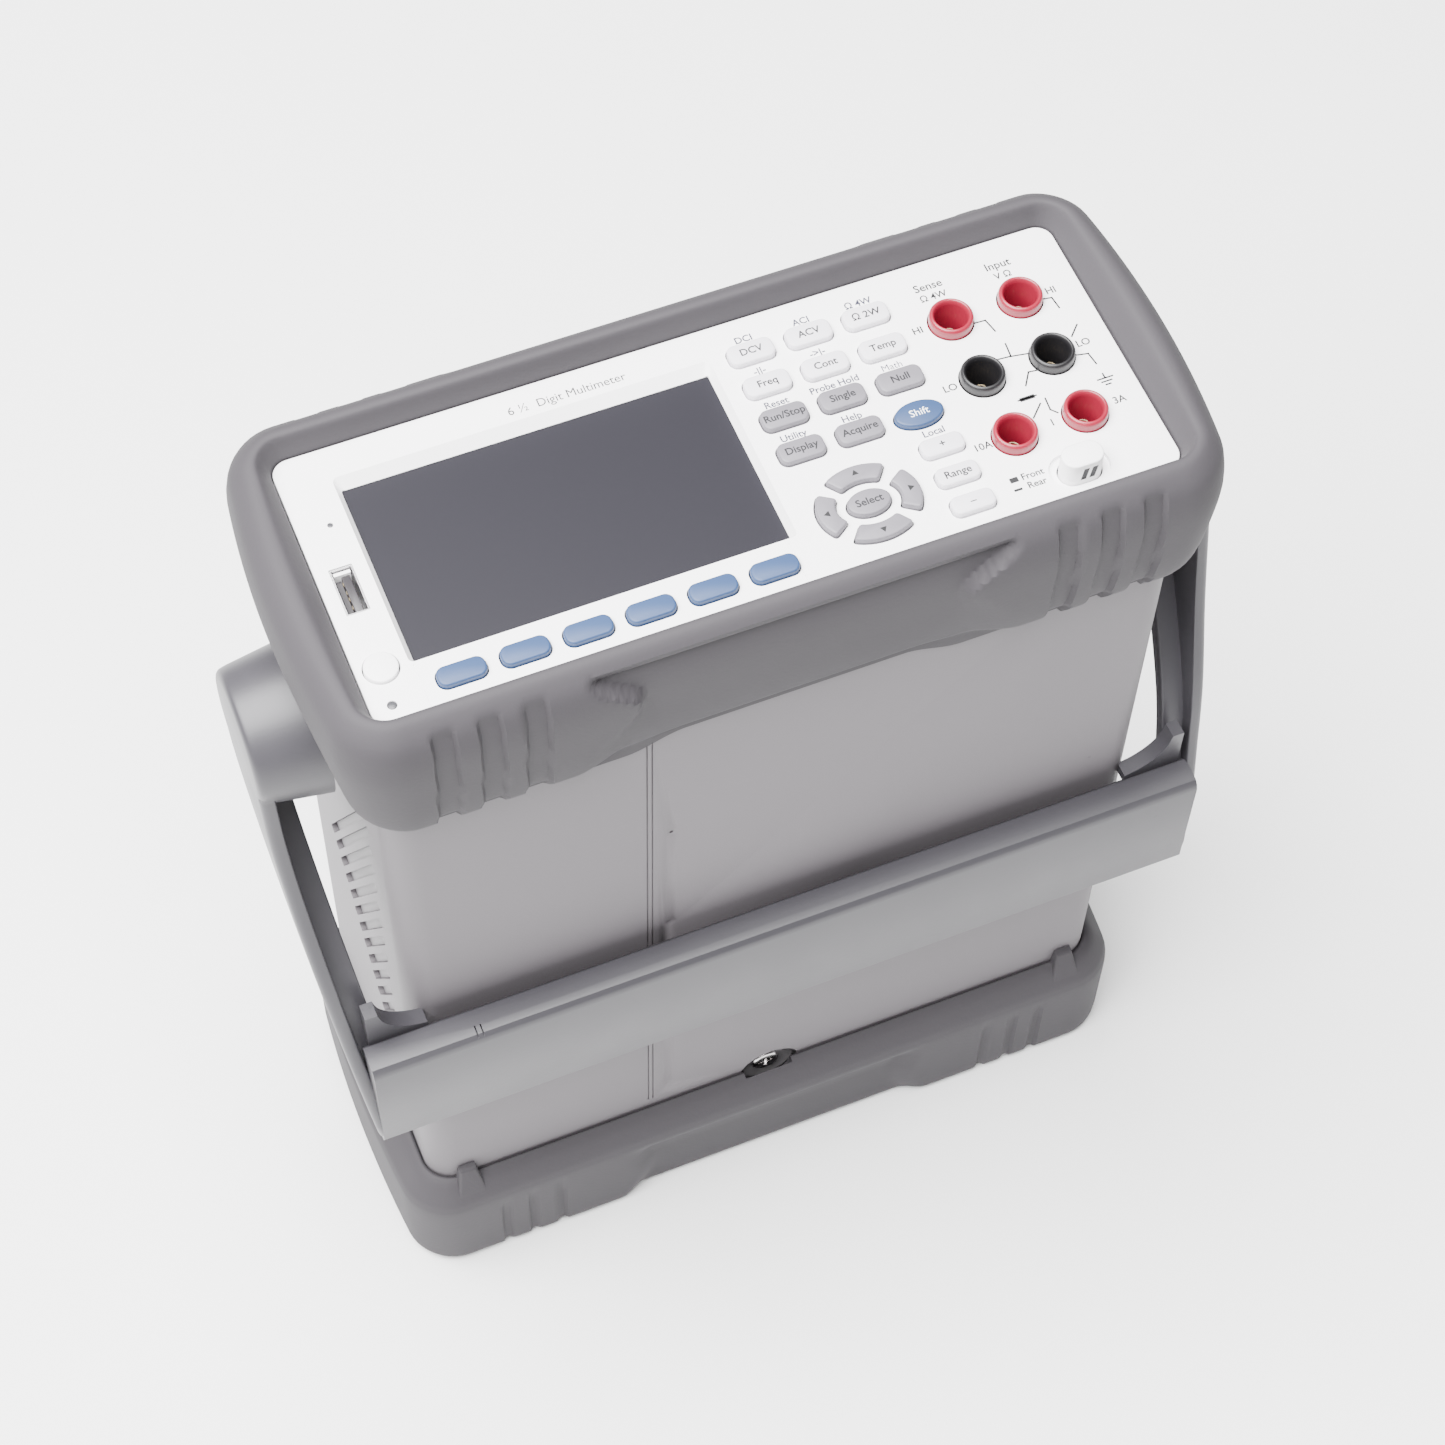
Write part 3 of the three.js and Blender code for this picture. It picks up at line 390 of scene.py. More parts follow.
def bumper_ring(rows, carve):
    """A closed rubber ring: an oblong outline pulled through rows of (half width, half height, corner,
    swell, z), then back to the first row. carve(x, z) gives how deep a point is pressed in and how far
    it is raised."""
    drawing = bmesh.new()
    start = drawing.verts.layers.float_vector.new("start")
    width, height, corner = BUMPER_HALF_W, BUMPER_HALF_H, BUMPER_CORNER
    outline = ((-width, -height), (width, -height), (width, height), (-width, height))
    face = drawing.faces.new([drawing.verts.new((x, y, 0)) for x, y in outline])
    bmesh.ops.bevel(
        drawing, geom=list(face.verts), offset=corner, segments=10, profile=0.5, affect="VERTICES",
        material=-1
    )
    bmesh.ops.delete(drawing, geom=list(drawing.faces), context="FACES_ONLY")
    for axis, spacing in ((0, 0.95), (1, 2.4)):
        sides = [e for e in drawing.edges if abs(e.verts[0].co[axis] - e.verts[1].co[axis]) > 30]
        bmesh.ops.subdivide_edges(drawing, edges=sides, cuts=int(sides[0].calc_length() / spacing))
    for v in drawing.verts:
        v[start] = v.co

    def settle(v, row):
        half_w, half_h, radius, swell, z = row
        half_w, half_h, z = min(half_w, width), min(half_h, height), max(z, REAR_RIM_Z)
        home = v[start]
        cx = max(corner - width, min(width - corner, home.x))
        cy = max(corner - height, min(height - corner, home.y))
        dx, dy = (home.x - cx) / corner, (home.y - cy) / corner
        x = cx * (half_w - radius) / (width - corner) + dx * radius
        y = cy * (half_h - radius) / (height - corner) + dy * radius
        x += math.copysign(swell * abs(x / half_w) ** 6 * (1 - (y / half_h) ** 2), x)
        press, lift = carve(x, z)
        share = ease(0.75, 0.98, abs(dy))
        y -= math.copysign(min(press * share, max(0.0, abs(y) - 45.4)), y)
        v.co = (x, y, z + lift * share)

    first = list(drawing.edges)
    for v in drawing.verts:
        settle(v, rows[0])
    edges = first
    for row in rows[1:]:
        made = bmesh.ops.extrude_edge_only(drawing, edges=edges)["geom"]
        for v in (g for g in made if isinstance(g, bmesh.types.BMVert)):
            settle(v, row)
        edges = [g for g in made if isinstance(g, bmesh.types.BMEdge) and len(g.link_faces) == 1]
        ends = {g for g in made if isinstance(g, bmesh.types.BMVert)}
        edges = [e for e in edges if e.verts[0] in ends and e.verts[1] in ends]
    bmesh.ops.bridge_loops(drawing, edges=first + edges)
    return drawing


def front_carve(x, z):
    """Scoop and grip grooves: the scoop's end is a crisp tongue at the top and melts away below."""
    side = abs(x)
    fade = 1 - ease(0.5, 4.5, z)
    tongue = 41 + 13 * ease(-9, 3, z) + 5 * ease(-20, -40, z)
    reach = 2.2 + 12 * ease(-7, -26, z)
    scoop = 1 - ease(tongue - 1, tongue + reach, side)
    groove = max(1 - ease(2.6, 3.3, abs(side - middle)) for middle in GRIP_GROOVES)
    low = ease(-30, -42, z)
    skirt = 1 - ease(29, 45, side)
    return (3.4 * scoop + 1.5 * groove) * fade, low * (4.3 * skirt + 0.9 * groove)


def front_bumper():
    outer = blend_rows([
        (104.2, 40.7, 5.0, 0.0, -0.6),
        (104.5, 40.9, 5.0, 0.0, 1.0),
        (106.4, 42.3, 6.5, 1.6, 5.4),
        (107.6, 43.8, 8.0, 2.8, 6.6),
        (109.6, 46.2, 10.0, 4.0, 5.7),
        (112.0, 49.6, 12.0, 4.9, 2.0),
        (112.9, 51.3, 13.0, 5.2, -3.0),
        (113.2, 51.9, 13.0, 5.2, -9.0),
        (112.9, 51.8, 13.0, 4.6, -16.0),
        (112.2, 51.4, 13.0, 3.7, -25.0),
        (111.4, 50.6, 12.6, 3.0, -31.0),
        (110.4, 49.6, 12.2, 2.4, -34.2),
        (109.0, 48.0, 11.2, 1.5, -37.0),
        (107.6, 46.0, 9.6, 0.5, -40.2),
    ], 4)
    inner = [
        (106.7, 44.6, 8.8, 0, -40.6),
        (106.7, 44.45, 8.8, 0, -30),
        (106.7, 44.45, 8.8, 0, -6),
        (104.2, 40.7, 5, 0, -6)
    ]
    ring = bumper_ring(outer + [list(row) for row in inner], front_carve)
    ring = combine(ring, rod(PIVOT_RELIEF, 400, "x", 0, PIVOT_Y, PIVOT_Z, 64))
    for side in (-1, 1):
        ring = combine(
            ring, rod(HUB_FOOT_RADIUS + 0.7, 60, "x", side * (HUB_INNER_X + 29.6), PIVOT_Y, PIVOT_Z, 96)
        )
    return ring


bumper_rubber = finish(
    "bumper_rubber", (0.040, 0.0365, 0.0412), roughness=0.72, drift=0.10, drift_size=28, grain_size=900,
    grain_depth=0.00005, specular=0.35
)
add_specks(bumper_rubber, 90, 0.035, 0.35)
add_piece(
    "front_bumper_skin", front_bumper(), bumper_rubber, "case", ["front_bumper"], crease=32
)

# ---------------------------------------------------------------------------------------------------
# Rear bumper. The same grey rubber, moulded as a boot. It starts with a sloping ledge round the
# cover, carries two wedge lugs on each long face and ends in the flat rim that the instrument stands on.
# ---------------------------------------------------------------------------------------------------
def rear_carve(x, z):
    side = abs(x)
    depth = 1 - ease(-265, -256, z)
    wave = 43 + 3.5 * math.sin((z + 262) / 7)
    scoop = 1 - ease(wave - 3, wave + 6, side)
    groove = max(1 - ease(0.9, 1.7, abs(side - middle)) for middle in REAR_GROOVES)
    return (3.0 * scoop + 0.9 * groove) * depth, 0.0


def lug(x, side):
    """A wedge that leans on the cover and grips it above the ledge, narrow at its crown."""
    drawing = bmesh.new()
    bmesh.ops.create_cube(drawing, size=1)
    for v in drawing.verts:
        crown = v.co.z > 0
        v.co = (
            x + v.co.x * (5.0 if crown else 10.5),
            (46.4 if crown else 51.4) if v.co.y > 0 else 44.3,
            -240.4 if crown else -256
        )
    ridge = [e for e in drawing.edges if min(v.co.y for v in e.verts) > 45]
    soften(drawing, ridge, 0.9, 4)
    if side < 0:
        bmesh.ops.scale(drawing, vec=(1, -1, 1), verts=drawing.verts)
    return drawing


def rear_bumper():
    rim = REAR_RIM_Z
    outer = blend_rows([
        (106.7, 44.45, 8.8, 0.0, -246.4),
        (107.6, 45.4, 9.2, 0.3, -245.9),
        (109.4, 47.6, 10.4, 1.3, -247.6),
        (111.6, 50.2, 12.2, 2.6, -251.6),
        (112.8, 51.4, 13.0, 3.2, -254.6),
        (113.2, 51.9, 13.0, 3.4, -260.0),
        (113.2, 51.9, 13.0, 3.4, -283.0),
        (112.6, 51.3, 12.6, 3.2, -288.4),
        (111.2, 49.8, 12.0, 3.0, rim + 0.25),
        (110.4, 49.0, 11.6, 2.8, rim),
    ], 5)
    inner = [(101.5, 39.5, 8, 0, rim), (101.5, 39.5, 8, 0, -277.5), (106.7, 44.45, 8.8, 0, -277.5)]
    ring = bumper_ring(outer + [list(row) for row in inner], rear_carve)
    for side in (-1, 1):
        for x in (-96, 96):
            ring = combine(ring, lug(x, side), "UNION")
    return combine(ring, rod(SCREW_RELIEF, 14, "y", SCREW_X, -39.6, SCREW_Z, 48))


add_piece(
    "rear_bumper_skin", rear_bumper(), bumper_rubber, "case", ["rear_bumper"], crease=32
)

# ---------------------------------------------------------------------------------------------------
# Cover sleeve. One sheet of steel folded round the instrument, closed by a lock seam on the underside
# and painted mid grey. Slanted slots in both sides let air through.
# ---------------------------------------------------------------------------------------------------
COVER_HALF_W, COVER_HALF_H, COVER_CORNER, SHEET = 106.4, 44.15, 8.5, 1.5
COVER_FRONT_Z, COVER_REAR_Z = -8, -276
SLOT_COUNT, SLOT_PITCH, FIRST_SLOT_Z, SLOT_NEAR_Y = 15, 9.7, -59.6, -25.5
SLOT_HALF_WIDTH, SLOT_SLANT = 1.3, 61
SEAM_LINES, SEAM_FRONT_Z, SEAM_REAR_Z = (-38.8, -37.4), -36, -242
DENTS = ((-32.0, -88.0), (-32.2, -136.0), (-32.4, -236.0))
DENT_RADIUS, DENT_LIFT = 4.2, 3.75
NOTCH_RADIUS, NOTCH_Z = 9.5, -249


def cover_sleeve():
    shell = block(
        (-COVER_HALF_W, -COVER_HALF_H, COVER_REAR_Z), (COVER_HALF_W, COVER_HALF_H, COVER_FRONT_Z),
        COVER_CORNER, steps=12
    )
    hollow = block(
        (SHEET - COVER_HALF_W, SHEET - COVER_HALF_H, COVER_REAR_Z - 5),
        (COVER_HALF_W - SHEET, COVER_HALF_H - SHEET, COVER_FRONT_Z + 5), COVER_CORNER - SHEET, steps=12
    )
    shell = combine(shell, hollow)
    slots = []
    for side in (-1, 1):
        for i in range(SLOT_COUNT):
            near_z = FIRST_SLOT_Z - SLOT_PITCH * i
            length = (136.1 + 0.635 * near_z) / 1.041  # slots shorten towards the rear
            slot = block((-4, 0, -SLOT_HALF_WIDTH), (4, length, SLOT_HALF_WIDTH))
            ends = [e for e in slot.edges if abs(e.verts[0].co.x - e.verts[1].co.x) > 1]
            soften(slot, ends, 1.0, 3)
            place = Matrix.Translation((side * COVER_HALF_W, SLOT_NEAR_Y, near_z))
            turn = place @ Matrix.Rotation(math.radians(-SLOT_SLANT), 4, "X")
            bmesh.ops.transform(slot, matrix=turn, verts=slot.verts)
            slots.append(slot)
    shell = combine(shell, gather(*slots))
    notch = combine(
        rod(NOTCH_RADIUS, 8, "y", 0, -COVER_HALF_H, NOTCH_Z, 64),
        block((-NOTCH_RADIUS, -COVER_HALF_H - 4, -280), (NOTCH_RADIUS, -COVER_HALF_H + 4, NOTCH_Z)), "UNION"
    )
    shell = combine(shell, notch)
    underside = -COVER_HALF_H
    seam = [
        block((x - 0.22, underside - 1, SEAM_REAR_Z), (x + 0.22, underside + 0.45, SEAM_FRONT_Z))
        for x in SEAM_LINES
    ]
    dents = []
    for x, z in DENTS:
        dent = bmesh.new()
        bmesh.ops.create_uvsphere(dent, u_segments=24, v_segments=16, radius=DENT_RADIUS)
        bmesh.ops.translate(dent, vec=(x, underside - DENT_LIFT, z), verts=dent.verts)
        dents.append(dent)
    dents.append(rod(0.55, 2, "y", DENTS[0][0], underside, DENTS[0][1], 16))
    for tool in seam + dents:
        shell = combine(shell, tool)
    return shell


cover_paint = finish(
    "cover_paint", (0.122, 0.112, 0.121), roughness=0.55, drift=0.05, drift_size=9, grain_size=1800,
    grain_depth=0.00004, specular=0.4
)
add_specks(cover_paint, 24, 0.02, 0.3)
add_piece("cover_sleeve_skin", cover_sleeve(), cover_paint, "case", ["cover_sleeve"])

# ---------------------------------------------------------------------------------------------------
# Backing. Plain grey sheets close behind the cover's slots and its screw notch, so that neither opens
# onto an unlit inside: their grey is painted shade in the openings. They belong to the looks alone.
# ---------------------------------------------------------------------------------------------------
SHADE_SHEET_X, SHADE_SHEET_HALF_THICK = 104.55, 0.3
painted_shade_grey = finish("painted_shade_grey", (0.2, 0.19, 0.2), roughness=0.6, drift=0.06)
slot_shade_sheets = [
    block((side * SHADE_SHEET_X - SHADE_SHEET_HALF_THICK, -35, -236), (side * SHADE_SHEET_X + SHADE_SHEET_HALF_THICK, 36, -56))
    for side in (-1, 1)
]
add_piece("slot_painted_shade", gather(*slot_shade_sheets), painted_shade_grey, "case")
# The disc behind the screw notch is painted shade as well.
notch_shade_disc = rod(8.6, 1.4, "y", 0, -41.4, NOTCH_Z, 48)
add_piece("notch_painted_shade", notch_shade_disc, painted_shade_grey, "case")

# ---------------------------------------------------------------------------------------------------
# Cover screw. One plated pan head screw in the cover's half round notch.
# ---------------------------------------------------------------------------------------------------
screw_steel = finish("screw_steel", (0.62, 0.6, 0.6), roughness=0.25, drift=0.08, metallic=1.0)


def cover_screw():
    head = rod(4.2, 1.7, "y", SCREW_X, -42.85, SCREW_Z, 40, edge=0.7)
    for half_x, half_z in ((0.45, 2.2), (2.2, 0.45)):
        cross = block(
            (SCREW_X - half_x, -44.5, SCREW_Z - half_z), (SCREW_X + half_x, -43.0, SCREW_Z + half_z)
        )
        head = combine(head, cross)
    shank = rod(1.7, 2, "y", SCREW_X, -41.3, SCREW_Z, 24)
    return combine(head, shank, "UNION")


add_piece("cover_screw_head", cover_screw(), screw_steel, "case", ["cover_screw"])

# ---------------------------------------------------------------------------------------------------
# Handle. A stiff moulded bail: two curved arms with an outer wall and a web along the rear edge, round
# hubs that turn on the case, and a flat grip with a rounded top edge.
# ---------------------------------------------------------------------------------------------------
HANDLE_HALF_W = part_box("handle")[1][0] * 1000
GRIP_FRONT_Y, GRIP_BACK_Y, GRIP_TOP_Z, GRIP_BOTTOM_Z = -56.4, -46.4, -139.0, -182.0
ARM_WALL, ARM_INNER_X, ARM_LEAN = 3.9, 120.4, 9.4


def upright_plate(outline, x0, x1, inner_edge=0.0, outer_edge=0.0):
    """A plate drawn on (y, z) and thick along x, its two outlines rounded by different amounts."""
    drawing = bmesh.new()
    face = drawing.faces.new([drawing.verts.new((x0, y, z)) for y, z in outline])
    thicken(drawing, [face], (x1 - x0, 0, 0))
    for x, radius in ((x0, inner_edge), (x1, outer_edge)):
        if radius:
            rim = [e for e in drawing.edges if all(abs(v.co.x - x) < 1e-5 for v in e.verts)]
            soften(drawing, rim, radius, 4)
    return drawing


def hub():
    """A cone that widens towards the case, with a softly rounded outer rim, on the x axis."""
    out = HANDLE_HALF_W
    profile = [(0, HUB_INNER_X), (HUB_FOOT_RADIUS, HUB_INNER_X)] + blend_rows(
        [
            (HUB_RADIUS, out - 3.2),
            (HUB_RADIUS - 0.5, out - 1.2),
            (HUB_RADIUS - 1.4, out - 0.3),
            (HUB_RADIUS - 2.6, out)
        ], 3
    ) + [(0, out)]
    drawing = bmesh.new()
    points = [drawing.verts.new((x, 0, radius)) for radius, x in profile]
    edges = [drawing.edges.new(pair) for pair in zip(points, points[1:])]
    spin_closed(drawing, points + edges, (1, 0, 0), 96)
    bmesh.ops.translate(drawing, vec=(0, PIVOT_Y, PIVOT_Z), verts=drawing.verts)
    return drawing


def handle():
    front_edge = blend_rows([
        (-18.8, -50), (-22.5, -68), (-29.5, -91), (-40.2, -118), (-46.2, -137), (-52, -155), (-56.2, -173)
    ], 5)
    web_face = blend_rows([(0, -68), (-22, -100), (-35.8, -122), (-43.2, -139), (-51, -158)], 5)
    rear_edge = blend_rows(
        [(-46.4, -160), (-39.5, -140), (-32, -123.5), (-18.2, -102), (-4, -80), (9, -62)], 5
    )
    heel = [(-56.3, -177.5), (-55.2, -180.6), (-52.8, -182), (-46.4, -182)]
    halves = []
    for side in (-1, 1):
        wall = upright_plate(
            front_edge + heel + rear_edge + [(13.5, -50)], HANDLE_HALF_W - ARM_WALL, HANDLE_HALF_W, 0.5, 1.9
        )
        web = upright_plate(web_face + rear_edge + [(4, -58)], ARM_INNER_X, HANDLE_HALF_W - 1.5, 0.7)
        arm = combine(combine(wall, web, "UNION"), hub(), "UNION")
        arm = combine(arm, rod(9.3, 14, "x", HUB_INNER_X + 5.1, PIVOT_Y, PIVOT_Z, 48))
        for level in range(-64, -182, -6):
            everything = list(arm.verts) + list(arm.edges) + list(arm.faces)
            bmesh.ops.bisect_plane(arm, geom=everything, plane_co=(0, 0, level), plane_no=(0, 0, 1))
        for v in arm.verts:
            fall = max(0.0, (PIVOT_Z - HUB_RADIUS - v.co.z) / (PIVOT_Z - HUB_RADIUS - GRIP_BOTTOM_Z))
            v.co.x -= ARM_LEAN * fall**1.5
        bmesh.ops.triangulate(arm, faces=arm.faces)
        if side < 0:
            bmesh.ops.scale(arm, vec=(-1, 1, 1), verts=arm.verts)
        halves.append(arm)
    reach = HANDLE_HALF_W - ARM_LEAN - 0.4
    profile = [
        (GRIP_BACK_Y, GRIP_BOTTOM_Z),
        (GRIP_BACK_Y, GRIP_TOP_Z - 2),
        (GRIP_BACK_Y - 1.2, GRIP_TOP_Z - 0.5),
        (GRIP_BACK_Y - 3, GRIP_TOP_Z),
        (GRIP_FRONT_Y + 3.4, GRIP_TOP_Z),
        (GRIP_FRONT_Y + 1.6, GRIP_TOP_Z - 0.5),
        (GRIP_FRONT_Y + 0.5, GRIP_TOP_Z - 1.7),
        (GRIP_FRONT_Y, GRIP_TOP_Z - 3.6),
        (GRIP_FRONT_Y, GRIP_BOTTOM_Z + 3),
        (GRIP_FRONT_Y + 0.9, GRIP_BOTTOM_Z + 0.9),
        (GRIP_FRONT_Y + 3, GRIP_BOTTOM_Z),
    ]
    grip = upright_plate(profile, -reach, reach)
    for mark in (-91.4, -89.8):
        notch = block(
            (mark - 0.2, GRIP_FRONT_Y + 0.6, GRIP_TOP_Z - 1.4), (mark + 0.2, GRIP_FRONT_Y + 4, GRIP_TOP_Z + 1)
        )
        grip = combine(grip, notch)
    whole = combine(combine(grip, halves[0], "UNION"), halves[1], "UNION")
    for side in (-1, 1):
        corner = blend_rows(
            [(102.5, -138.6), (107.0, -137.2), (111.2, -134.4), (114.2, -130.4), (115.6, -125.5)], 4
        )
        gusset = bmesh.new()
        outline = corner + [(119, -125.5), (119, -142), (102.5, -142)]
        face = gusset.faces.new([gusset.verts.new((side * x, -46.9, z)) for x, z in outline])
        thicken(gusset, [face], (0, 4.6, 0))
        whole = combine(whole, gusset, "UNION")
    return whole


handle_plastic = finish(
    "handle_plastic", (0.042, 0.0398, 0.0458), roughness=0.42, drift=0.06, drift_size=35, grain_size=1300,
    grain_depth=0.00002, specular=0.5
)
add_specks(handle_plastic, 120, 0.09, 0.6)
add_piece("handle_bail", handle(), handle_plastic, "handle", ["handle"], crease=30)
for node in ("handle_pivot_left", "handle_pivot_right"):
    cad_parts[node].material_slots[0].material = handle_plastic

# ---------------------------------------------------------------------------------------------------
# Front panel. White moulded plate with a hole for every key, jack and socket, a sunk window for the
# display with sloping sides, and a fine joint line at each end of the soft key row.
# ---------------------------------------------------------------------------------------------------
PANEL_HALF_W, PANEL_HALF_H, PANEL_THICK = 103.9, 40.4, 2.6
WINDOW = (-89.5, -25.2, 6.1, 28.2)  # left, bottom, right, top of the display's opening
WINDOW_DEPTH = 2.4
KEY_STAND, CAP_BOTTOM, KEY_GAP = 1.6, -3.8, 0.35
KEY_COLUMNS, KEY_ROWS = (17.9, 33.4, 48.9), (28.9, 18.3, 7.6, -3.2)
FIRST_SOFT_KEY_X, SOFT_KEY_PITCH, SOFT_KEY_Y = -80.6, 15.8, -33.1
RANGE_X, PAD_X, PAD_Y = 50.3, 26.9, -23.7
SWITCH_X, SWITCH_Y = 79.0, -32.6
JACK_X, JACK_TOP_Y, JACK_PITCH = 68.2, 20.0, 19.05
USB_X, USB_Y = -97.3, -1.2
POWER_X, POWER_Y = -97.6, -24.8
POWER_LIGHT = (-98.5, -35.3)
SENSOR_LIGHT = (-95.5, 18.1)


def oblong(width, height, corner, x, y, z0, z1, steps=6):
    return block(
        (x - width / 2, y - height / 2, z0), (x + width / 2, y + height / 2, z1), corner, steps=steps
    )


def oval(width, height, x, y, z0, z1, sides=56):
    drawing = bmesh.new()
    bmesh.ops.create_cone(drawing, cap_ends=True, segments=sides, radius1=1, radius2=1, depth=z1 - z0)
    bmesh.ops.scale(drawing, vec=(width / 2, height / 2, 1), verts=drawing.verts)
    bmesh.ops.translate(drawing, vec=(x, y, (z0 + z1) / 2), verts=drawing.verts)
    return drawing


def cursor_quarter(middle, grow, z0, z1):
    """One quarter of the oval cursor ring, with its four corners rounded."""
    drawing = bmesh.new()
    spread = (0.62 if middle % 180 else 0.6) + grow / 12
    turn = math.radians(middle)
    angles = [turn - spread + 2 * spread * i / 12 for i in range(13)]
    outer = [((13.4 + grow) * math.cos(a), (11.2 + grow) * math.sin(a)) for a in angles]
    inner = [((8.4 - grow) * math.cos(a), (6.4 - grow) * math.sin(a)) for a in reversed(angles)]
    ring = [drawing.verts.new((PAD_X + x, PAD_Y + y, z0)) for x, y in outer + inner]
    corners = [ring[0], ring[12], ring[13], ring[25]]
    face = drawing.faces.new(ring)
    bmesh.ops.bevel(
        drawing, geom=corners, offset=0.9, segments=4, profile=0.5, affect="VERTICES", material=-1
    )
    thicken(drawing, list(drawing.faces), (0, 0, z1 - z0))
    return drawing


def oblong_key(x, y, width, height, corner):
    return lambda grow, z0, z1: oblong(width + 2 * grow, height + 2 * grow, corner + grow, x, y, z0, z1)


def oval_key(x, y, width, height):
    return lambda grow, z0, z1: oval(width + 2 * grow, height + 2 * grow, x, y, z0, z1)


def cursor_key(middle):
    return lambda grow, z0, z1: cursor_quarter(middle, grow, z0, z1)


# name, shape, colour, word on the cap, second word on the panel above it, and middle
KEYS = []
for i in range(6):
    x, y = FIRST_SOFT_KEY_X + SOFT_KEY_PITCH * i, SOFT_KEY_Y
    KEYS.append((f"soft_key_{i + 1}", oblong_key(x, y, 12.2, 5.6, 2.3), "blue", None, None, (x, y)))
for name, column, row, colour, word, second in (
    ("key_dc_volts", 0, 0, "white", "DCV", "DCI"),
    ("key_ac_volts", 1, 0, "white", "ACV", "ACI"),
    ("key_ohms", 2, 0, "white", "Ω 2W", "Ω 4W"),
    ("key_frequency", 0, 1, "white", "Freq", "-||-"),
    ("key_continuity", 1, 1, "white", "Cont", "->|-"),
    ("key_temperature", 2, 1, "white", "Temp", None),
    ("key_run_stop", 0, 2, "grey", "Run/Stop", "Reset"),
    ("key_single", 1, 2, "grey", "Single", "Probe Hold"),
    ("key_null", 2, 2, "grey", "Null", "Math"),
    ("key_display", 0, 3, "grey", "Display", "Utility"),
    ("key_acquire", 1, 3, "grey", "Acquire", "Help"),
):
    x, y = KEY_COLUMNS[column], KEY_ROWS[row]
    KEYS.append((name, oblong_key(x, y, 12, 6.2, 2.1), colour, word, second, (x, y)))
x, y = KEY_COLUMNS[2], KEY_ROWS[3] - 0.6
KEYS.append(("key_shift", oval_key(x, y, 12.8, 7.6), "blue", "Shift", None, (x, y)))
for name, y, word, second in (
    ("key_range_up", -14.6, "+", "Local"),
    ("key_range", -23.8, "Range", None),
    ("key_range_down", -32.8, "–", None)
):
    KEYS.append((name, oblong_key(RANGE_X, y, 11.2, 5.4, 1.9), "white", word, second, (RANGE_X, y)))
KEYS.append(("key_select", oval_key(PAD_X, PAD_Y, 11.2, 7.4), "grey", "Select", None, (PAD_X, PAD_Y)))
for name, middle in (
    ("key_cursor_right", 0), ("key_cursor_up", 90), ("key_cursor_left", 180), ("key_cursor_down", 270)
):
    KEYS.append((name, cursor_key(middle), "grey", None, None, (PAD_X, PAD_Y)))
KEYS.append(("power_button", oval_key(POWER_X, POWER_Y, 8.4, 8.4), "panel", None, None, (POWER_X, POWER_Y)))

JACKS = [
    ("jack_sense_hi", 0, 0, "red"), ("jack_input_hi", 1, 0, "red"), ("jack_sense_lo", 0, 1, "black"),
    ("jack_input_lo", 1, 1, "black"), ("jack_10a", 0, 2, "red"), ("jack_3a", 1, 2, "red"),
]


def jack_place(column, row):
    return JACK_X + column * JACK_PITCH, JACK_TOP_Y - row * JACK_PITCH


def front_panel():
    plate = block(
        (-PANEL_HALF_W, -PANEL_HALF_H, -PANEL_THICK), (PANEL_HALF_W, PANEL_HALF_H, 0), 4.6, 0.3, steps=8
    )
    holes = [shape(KEY_GAP, -9, 9) for _, shape, _, _, _, _ in KEYS]
    for _, column, row, _ in JACKS:
        holes.append(rod(6.0, 20, "z", *jack_place(column, row), 0, 56))
    left, bottom, right, top = WINDOW
    holes.append(block((left, bottom, -9), (right, top, 9), 0.6))
    holes.append(oblong(5.9, 14.0, 0.3, USB_X, USB_Y, -9, 9))
    holes.append(oblong(11.6, 7.8, 3.7, SWITCH_X, SWITCH_Y, -9, 9))
    holes.append(rod(1.25, 20, "z", *POWER_LIGHT, 0, 24))
    holes.append(rod(0.75, 20, "z", *SENSOR_LIGHT, 0, 20))
    plate = combine(plate, gather(*holes))
    plate = combine(plate, oblong(15.7, 10.0, 4.9, SWITCH_X, SWITCH_Y + 0.3, -1.2, 9, steps=10))
    slope = bmesh.new()
    bmesh.ops.create_cube(slope, size=1)
    for v in slope.verts:
        deep = v.co.z < 0
        v.co.x = (left if v.co.x < 0 else right) + (0 if deep else (-1.4 if v.co.x < 0 else 1.4))
        v.co.y = (bottom if v.co.y < 0 else top) + (0 if deep else (-0.6 if v.co.y < 0 else 2.8))
        v.co.z = -WINDOW_DEPTH if deep else 0.02
    upright = [e for e in slope.edges if abs(e.verts[0].co.z - e.verts[1].co.z) > 1]
    soften(slope, upright, 1.3, 5)
    plate = combine(plate, slope)
    lines = [
        block((-90.3, -40, -0.25), (-90.1, -26.6, 1)), block((4.4, -40, -0.25), (4.6, -27.0, 1)),
    ]
    for tool in lines:
        plate = combine(plate, tool)
    rim = combine(
        block((-PANEL_HALF_W, -PANEL_HALF_H, -7.4), (PANEL_HALF_W, PANEL_HALF_H, -2.4), 4.6, steps=8),
        block(
            (1.5 - PANEL_HALF_W, 1.5 - PANEL_HALF_H, -9), (PANEL_HALF_W - 1.5, PANEL_HALF_H - 1.5, 0), 3.1,
            steps=8
        ),
    )
    return combine(plate, rim, "UNION")


panel_white = finish(
    "panel_white", (0.9, 0.89, 0.9), roughness=0.42, drift=0.02, drift_size=20, grain_size=1600,
    grain_depth=0.000008, specular=0.45
)
add_piece("front_panel_face", front_panel(), panel_white, "case", ["front_panel"], crease=25)

